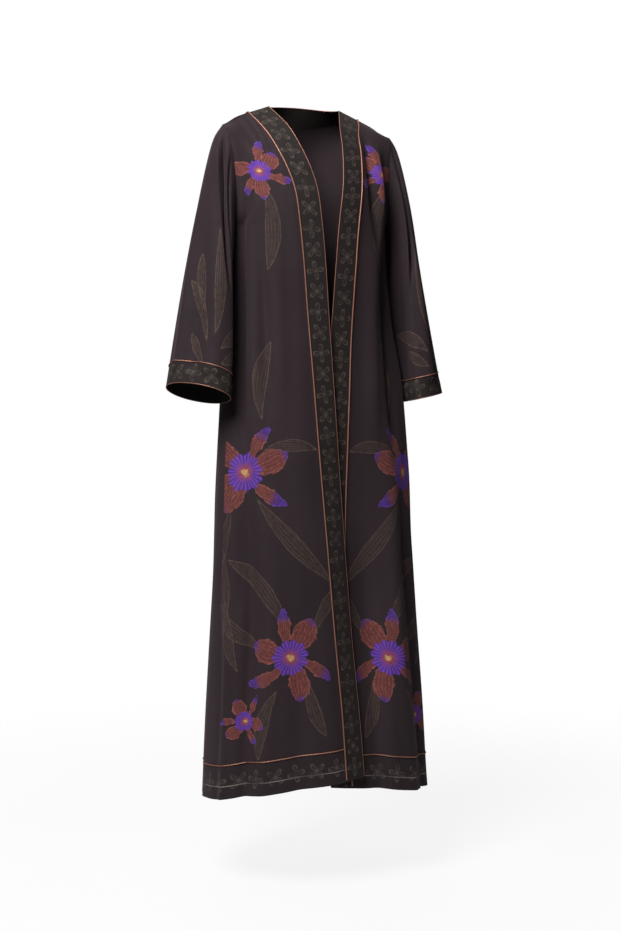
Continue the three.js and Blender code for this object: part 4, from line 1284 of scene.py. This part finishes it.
def sleeve_pieces(side):
    """A sleeve and its cuff, with a cord at the cuff's seam and at its end."""
    facing = 1 if side == "left" else -1
    sleeve = sleeve_cloth(side)
    print_on(sleeve, "sleeve")
    middle = (sleeve.d[SLEEVE_ROWS] + sleeve.d[-1]) / 2 * MM
    round_it = sleeve.a[-1, -1] * MM
    pattern = blossoms(False, middle, round_it / round(round_it / BLOSSOM_PITCH))
    cuff_cloth = crepe("cuff_crepe_" + side, *BROWN_BLACK, decorate=pattern)
    upper, lower = slice(0, SLEEVE_ROWS + 1), slice(SLEEVE_ROWS, None)
    cloth_piece("sleeve_" + side, sleeve, upper, ALL, facing, PRINTED_CLOTH)
    cloth_piece("cuff_" + side, sleeve, lower, ALL, facing, cuff_cloth)
    points, normals = sleeve.points[:, :-1], sleeve.normals[:, :-1]
    rows = ("piping_cuff_top_", SLEEVE_ROWS, CUFF_CORD), ("piping_cuff_end_", -1, EDGE_CORD)
    for name, row, size in rows:
        away = unit(points[row] - points[row - 1])
        ring = points[row] + normals[row] * size["lift"] + away * size["beyond"]
        cord_piece(name + side, ring, normals[row], size["radius"], closed=True)


def back_pieces():
    back = back_cloth()
    cloth_piece("back", back, ABOVE_HEM, ALL, 1, PLAIN_CLOTH)
    cloth_piece("hem_band_back", back, BELOW_HEM, ALL, 1, HEM_CLOTH)
    hem_cord("piping_hem_back", back, ALL)


for side in ("right", "left"):
    front_pieces(side)
    sleeve_pieces(side)
back_pieces()

# ---- floor, light, camera ----------------------------------------------------------------------
FLOOR_Z = -1575.0
FLOOR_RADIUS = 2.0
FLOOR_FADE = 0.5, 1.9
FLOOR_GLOW = 0.87
WORLD_LIGHT = 0.06
LIGHTS_AIM_Z = -0.6
# azimuth and elevation in degrees, distance and size in metres, power in watts
LIGHTS = {
    "key": (-52, 47, 3.5, 1.6, 240),
    "fill": (10, 12, 5.0, 3.0, 22),
    "behind": (165, 40, 4.0, 3.0, 70),
}
CAMERA_AZIMUTH = math.radians(-26)
CAMERA_DISTANCE = 3700.0
CAMERA_Z = -495.0
CAMERA_ASIDE = 7.3
CAMERA_TILT = math.radians(3.7147)
LENS_MM = 68.8


def floor():
    """Pale disc that takes a soft shadow and fades out towards its rim."""
    bm = bmesh.new()
    bmesh.ops.create_circle(bm, cap_ends=True, segments=96, radius=FLOOR_RADIUS)
    mesh = bpy.data.meshes.new("floor")
    bm.to_mesh(mesh)
    bm.free()
    item = bpy.data.objects.new("floor", mesh)
    item.location = (0, 0, (FLOOR_Z - NAPE[2]) / 1000)
    bpy.context.scene.collection.objects.link(item)
    n = Nodes("pale_floor")
    place = n.place()
    shade = n.ramp(n.noise(place, 3.0), (0.3, (0.55, 0.55, 0.55)), (0.7, (0.58, 0.58, 0.58)))
    n.link(shade, n.shader.inputs["Base Color"])
    n.shader.inputs["Roughness"].default_value = 0.9
    away = n.add("ShaderNodeVectorMath", operation="LENGTH")
    n.link(place, away.inputs[0])
    clear = n.add("ShaderNodeBsdfTransparent")
    glow = n.add("ShaderNodeEmission")
    pale = n.add("ShaderNodeMixShader")
    seen = n.add("ShaderNodeLightPath").outputs["Is Camera Ray"]
    n.link(n.times(seen, FLOOR_GLOW), pale.inputs[0])
    n.link(n.shader.outputs[0], pale.inputs[1])
    n.link(glow.outputs[0], pale.inputs[2])
    fade = n.add("ShaderNodeMixShader")
    n.link(n.step(away.outputs["Value"], *FLOOR_FADE), fade.inputs[0])
    n.link(pale.outputs[0], fade.inputs[1])
    n.link(clear.outputs[0], fade.inputs[2])
    n.link(fade.outputs[0], n.tree.nodes["Material Output"].inputs["Surface"])
    item.data.materials.append(n.material)


def area_light(name, azimuth, elevation, distance, size, power):
    light = bpy.data.lights.new(name, "AREA")
    light.shape = "DISK"
    light.size, light.energy = size, power
    item = bpy.data.objects.new(name, light)
    a, e = math.radians(azimuth), math.radians(elevation)
    away = Vector((math.sin(a) * math.cos(e), -math.cos(a) * math.cos(e), math.sin(e)))
    item.location = away * distance + Vector((0, 0, LIGHTS_AIM_Z))
    item.rotation_euler = (-away).to_track_quat("-Z", "Y").to_euler()
    bpy.context.scene.collection.objects.link(item)


def camera():
    toward = np.array([math.sin(CAMERA_AZIMUTH), -math.cos(CAMERA_AZIMUTH), 0.0])
    right = np.array([math.cos(CAMERA_AZIMUTH), math.sin(CAMERA_AZIMUTH), 0.0])
    up = np.array([0.0, 0.0, math.cos(CAMERA_TILT)]) - toward * math.sin(CAMERA_TILT)
    position = toward * CAMERA_DISTANCE + right * CAMERA_ASIDE + np.array([0, 0, CAMERA_Z])
    data = bpy.data.cameras.new("camera")
    data.lens, data.sensor_width = LENS_MM, 36.0
    item = bpy.data.objects.new("camera", data)
    matrix = Matrix([list(row) for row in np.stack([right, up, -np.cross(up, right)], 1)]).to_4x4()
    matrix.translation = tuple((position - NAPE) / 1000)
    item.matrix_world = matrix
    bpy.context.scene.collection.objects.link(item)
    bpy.context.scene.camera = item


def world():
    """White to the camera, and a weak light on the cloth."""
    sky = bpy.data.worlds.new("studio")
    sky.use_nodes = True
    tree = sky.node_tree
    shade = tree.nodes["Background"]
    shade.inputs["Color"].default_value = (1, 1, 1, 1)
    shade.inputs["Strength"].default_value = WORLD_LIGHT
    seen = tree.nodes.new("ShaderNodeBackground")
    seen.inputs["Strength"].default_value = 1.0
    path = tree.nodes.new("ShaderNodeLightPath")
    choose = tree.nodes.new("ShaderNodeMixShader")
    tree.links.new(path.outputs["Is Camera Ray"], choose.inputs[0])
    tree.links.new(shade.outputs[0], choose.inputs[1])
    tree.links.new(seen.outputs[0], choose.inputs[2])
    tree.links.new(choose.outputs[0], tree.nodes["World Output"].inputs["Surface"])
    seen.inputs["Color"].default_value = (1, 1, 1, 1)
    bpy.context.scene.world = sky


floor()
for name, values in LIGHTS.items():
    area_light(name, *values)
camera()
world()
bpy.context.scene.view_settings.view_transform = "Standard"
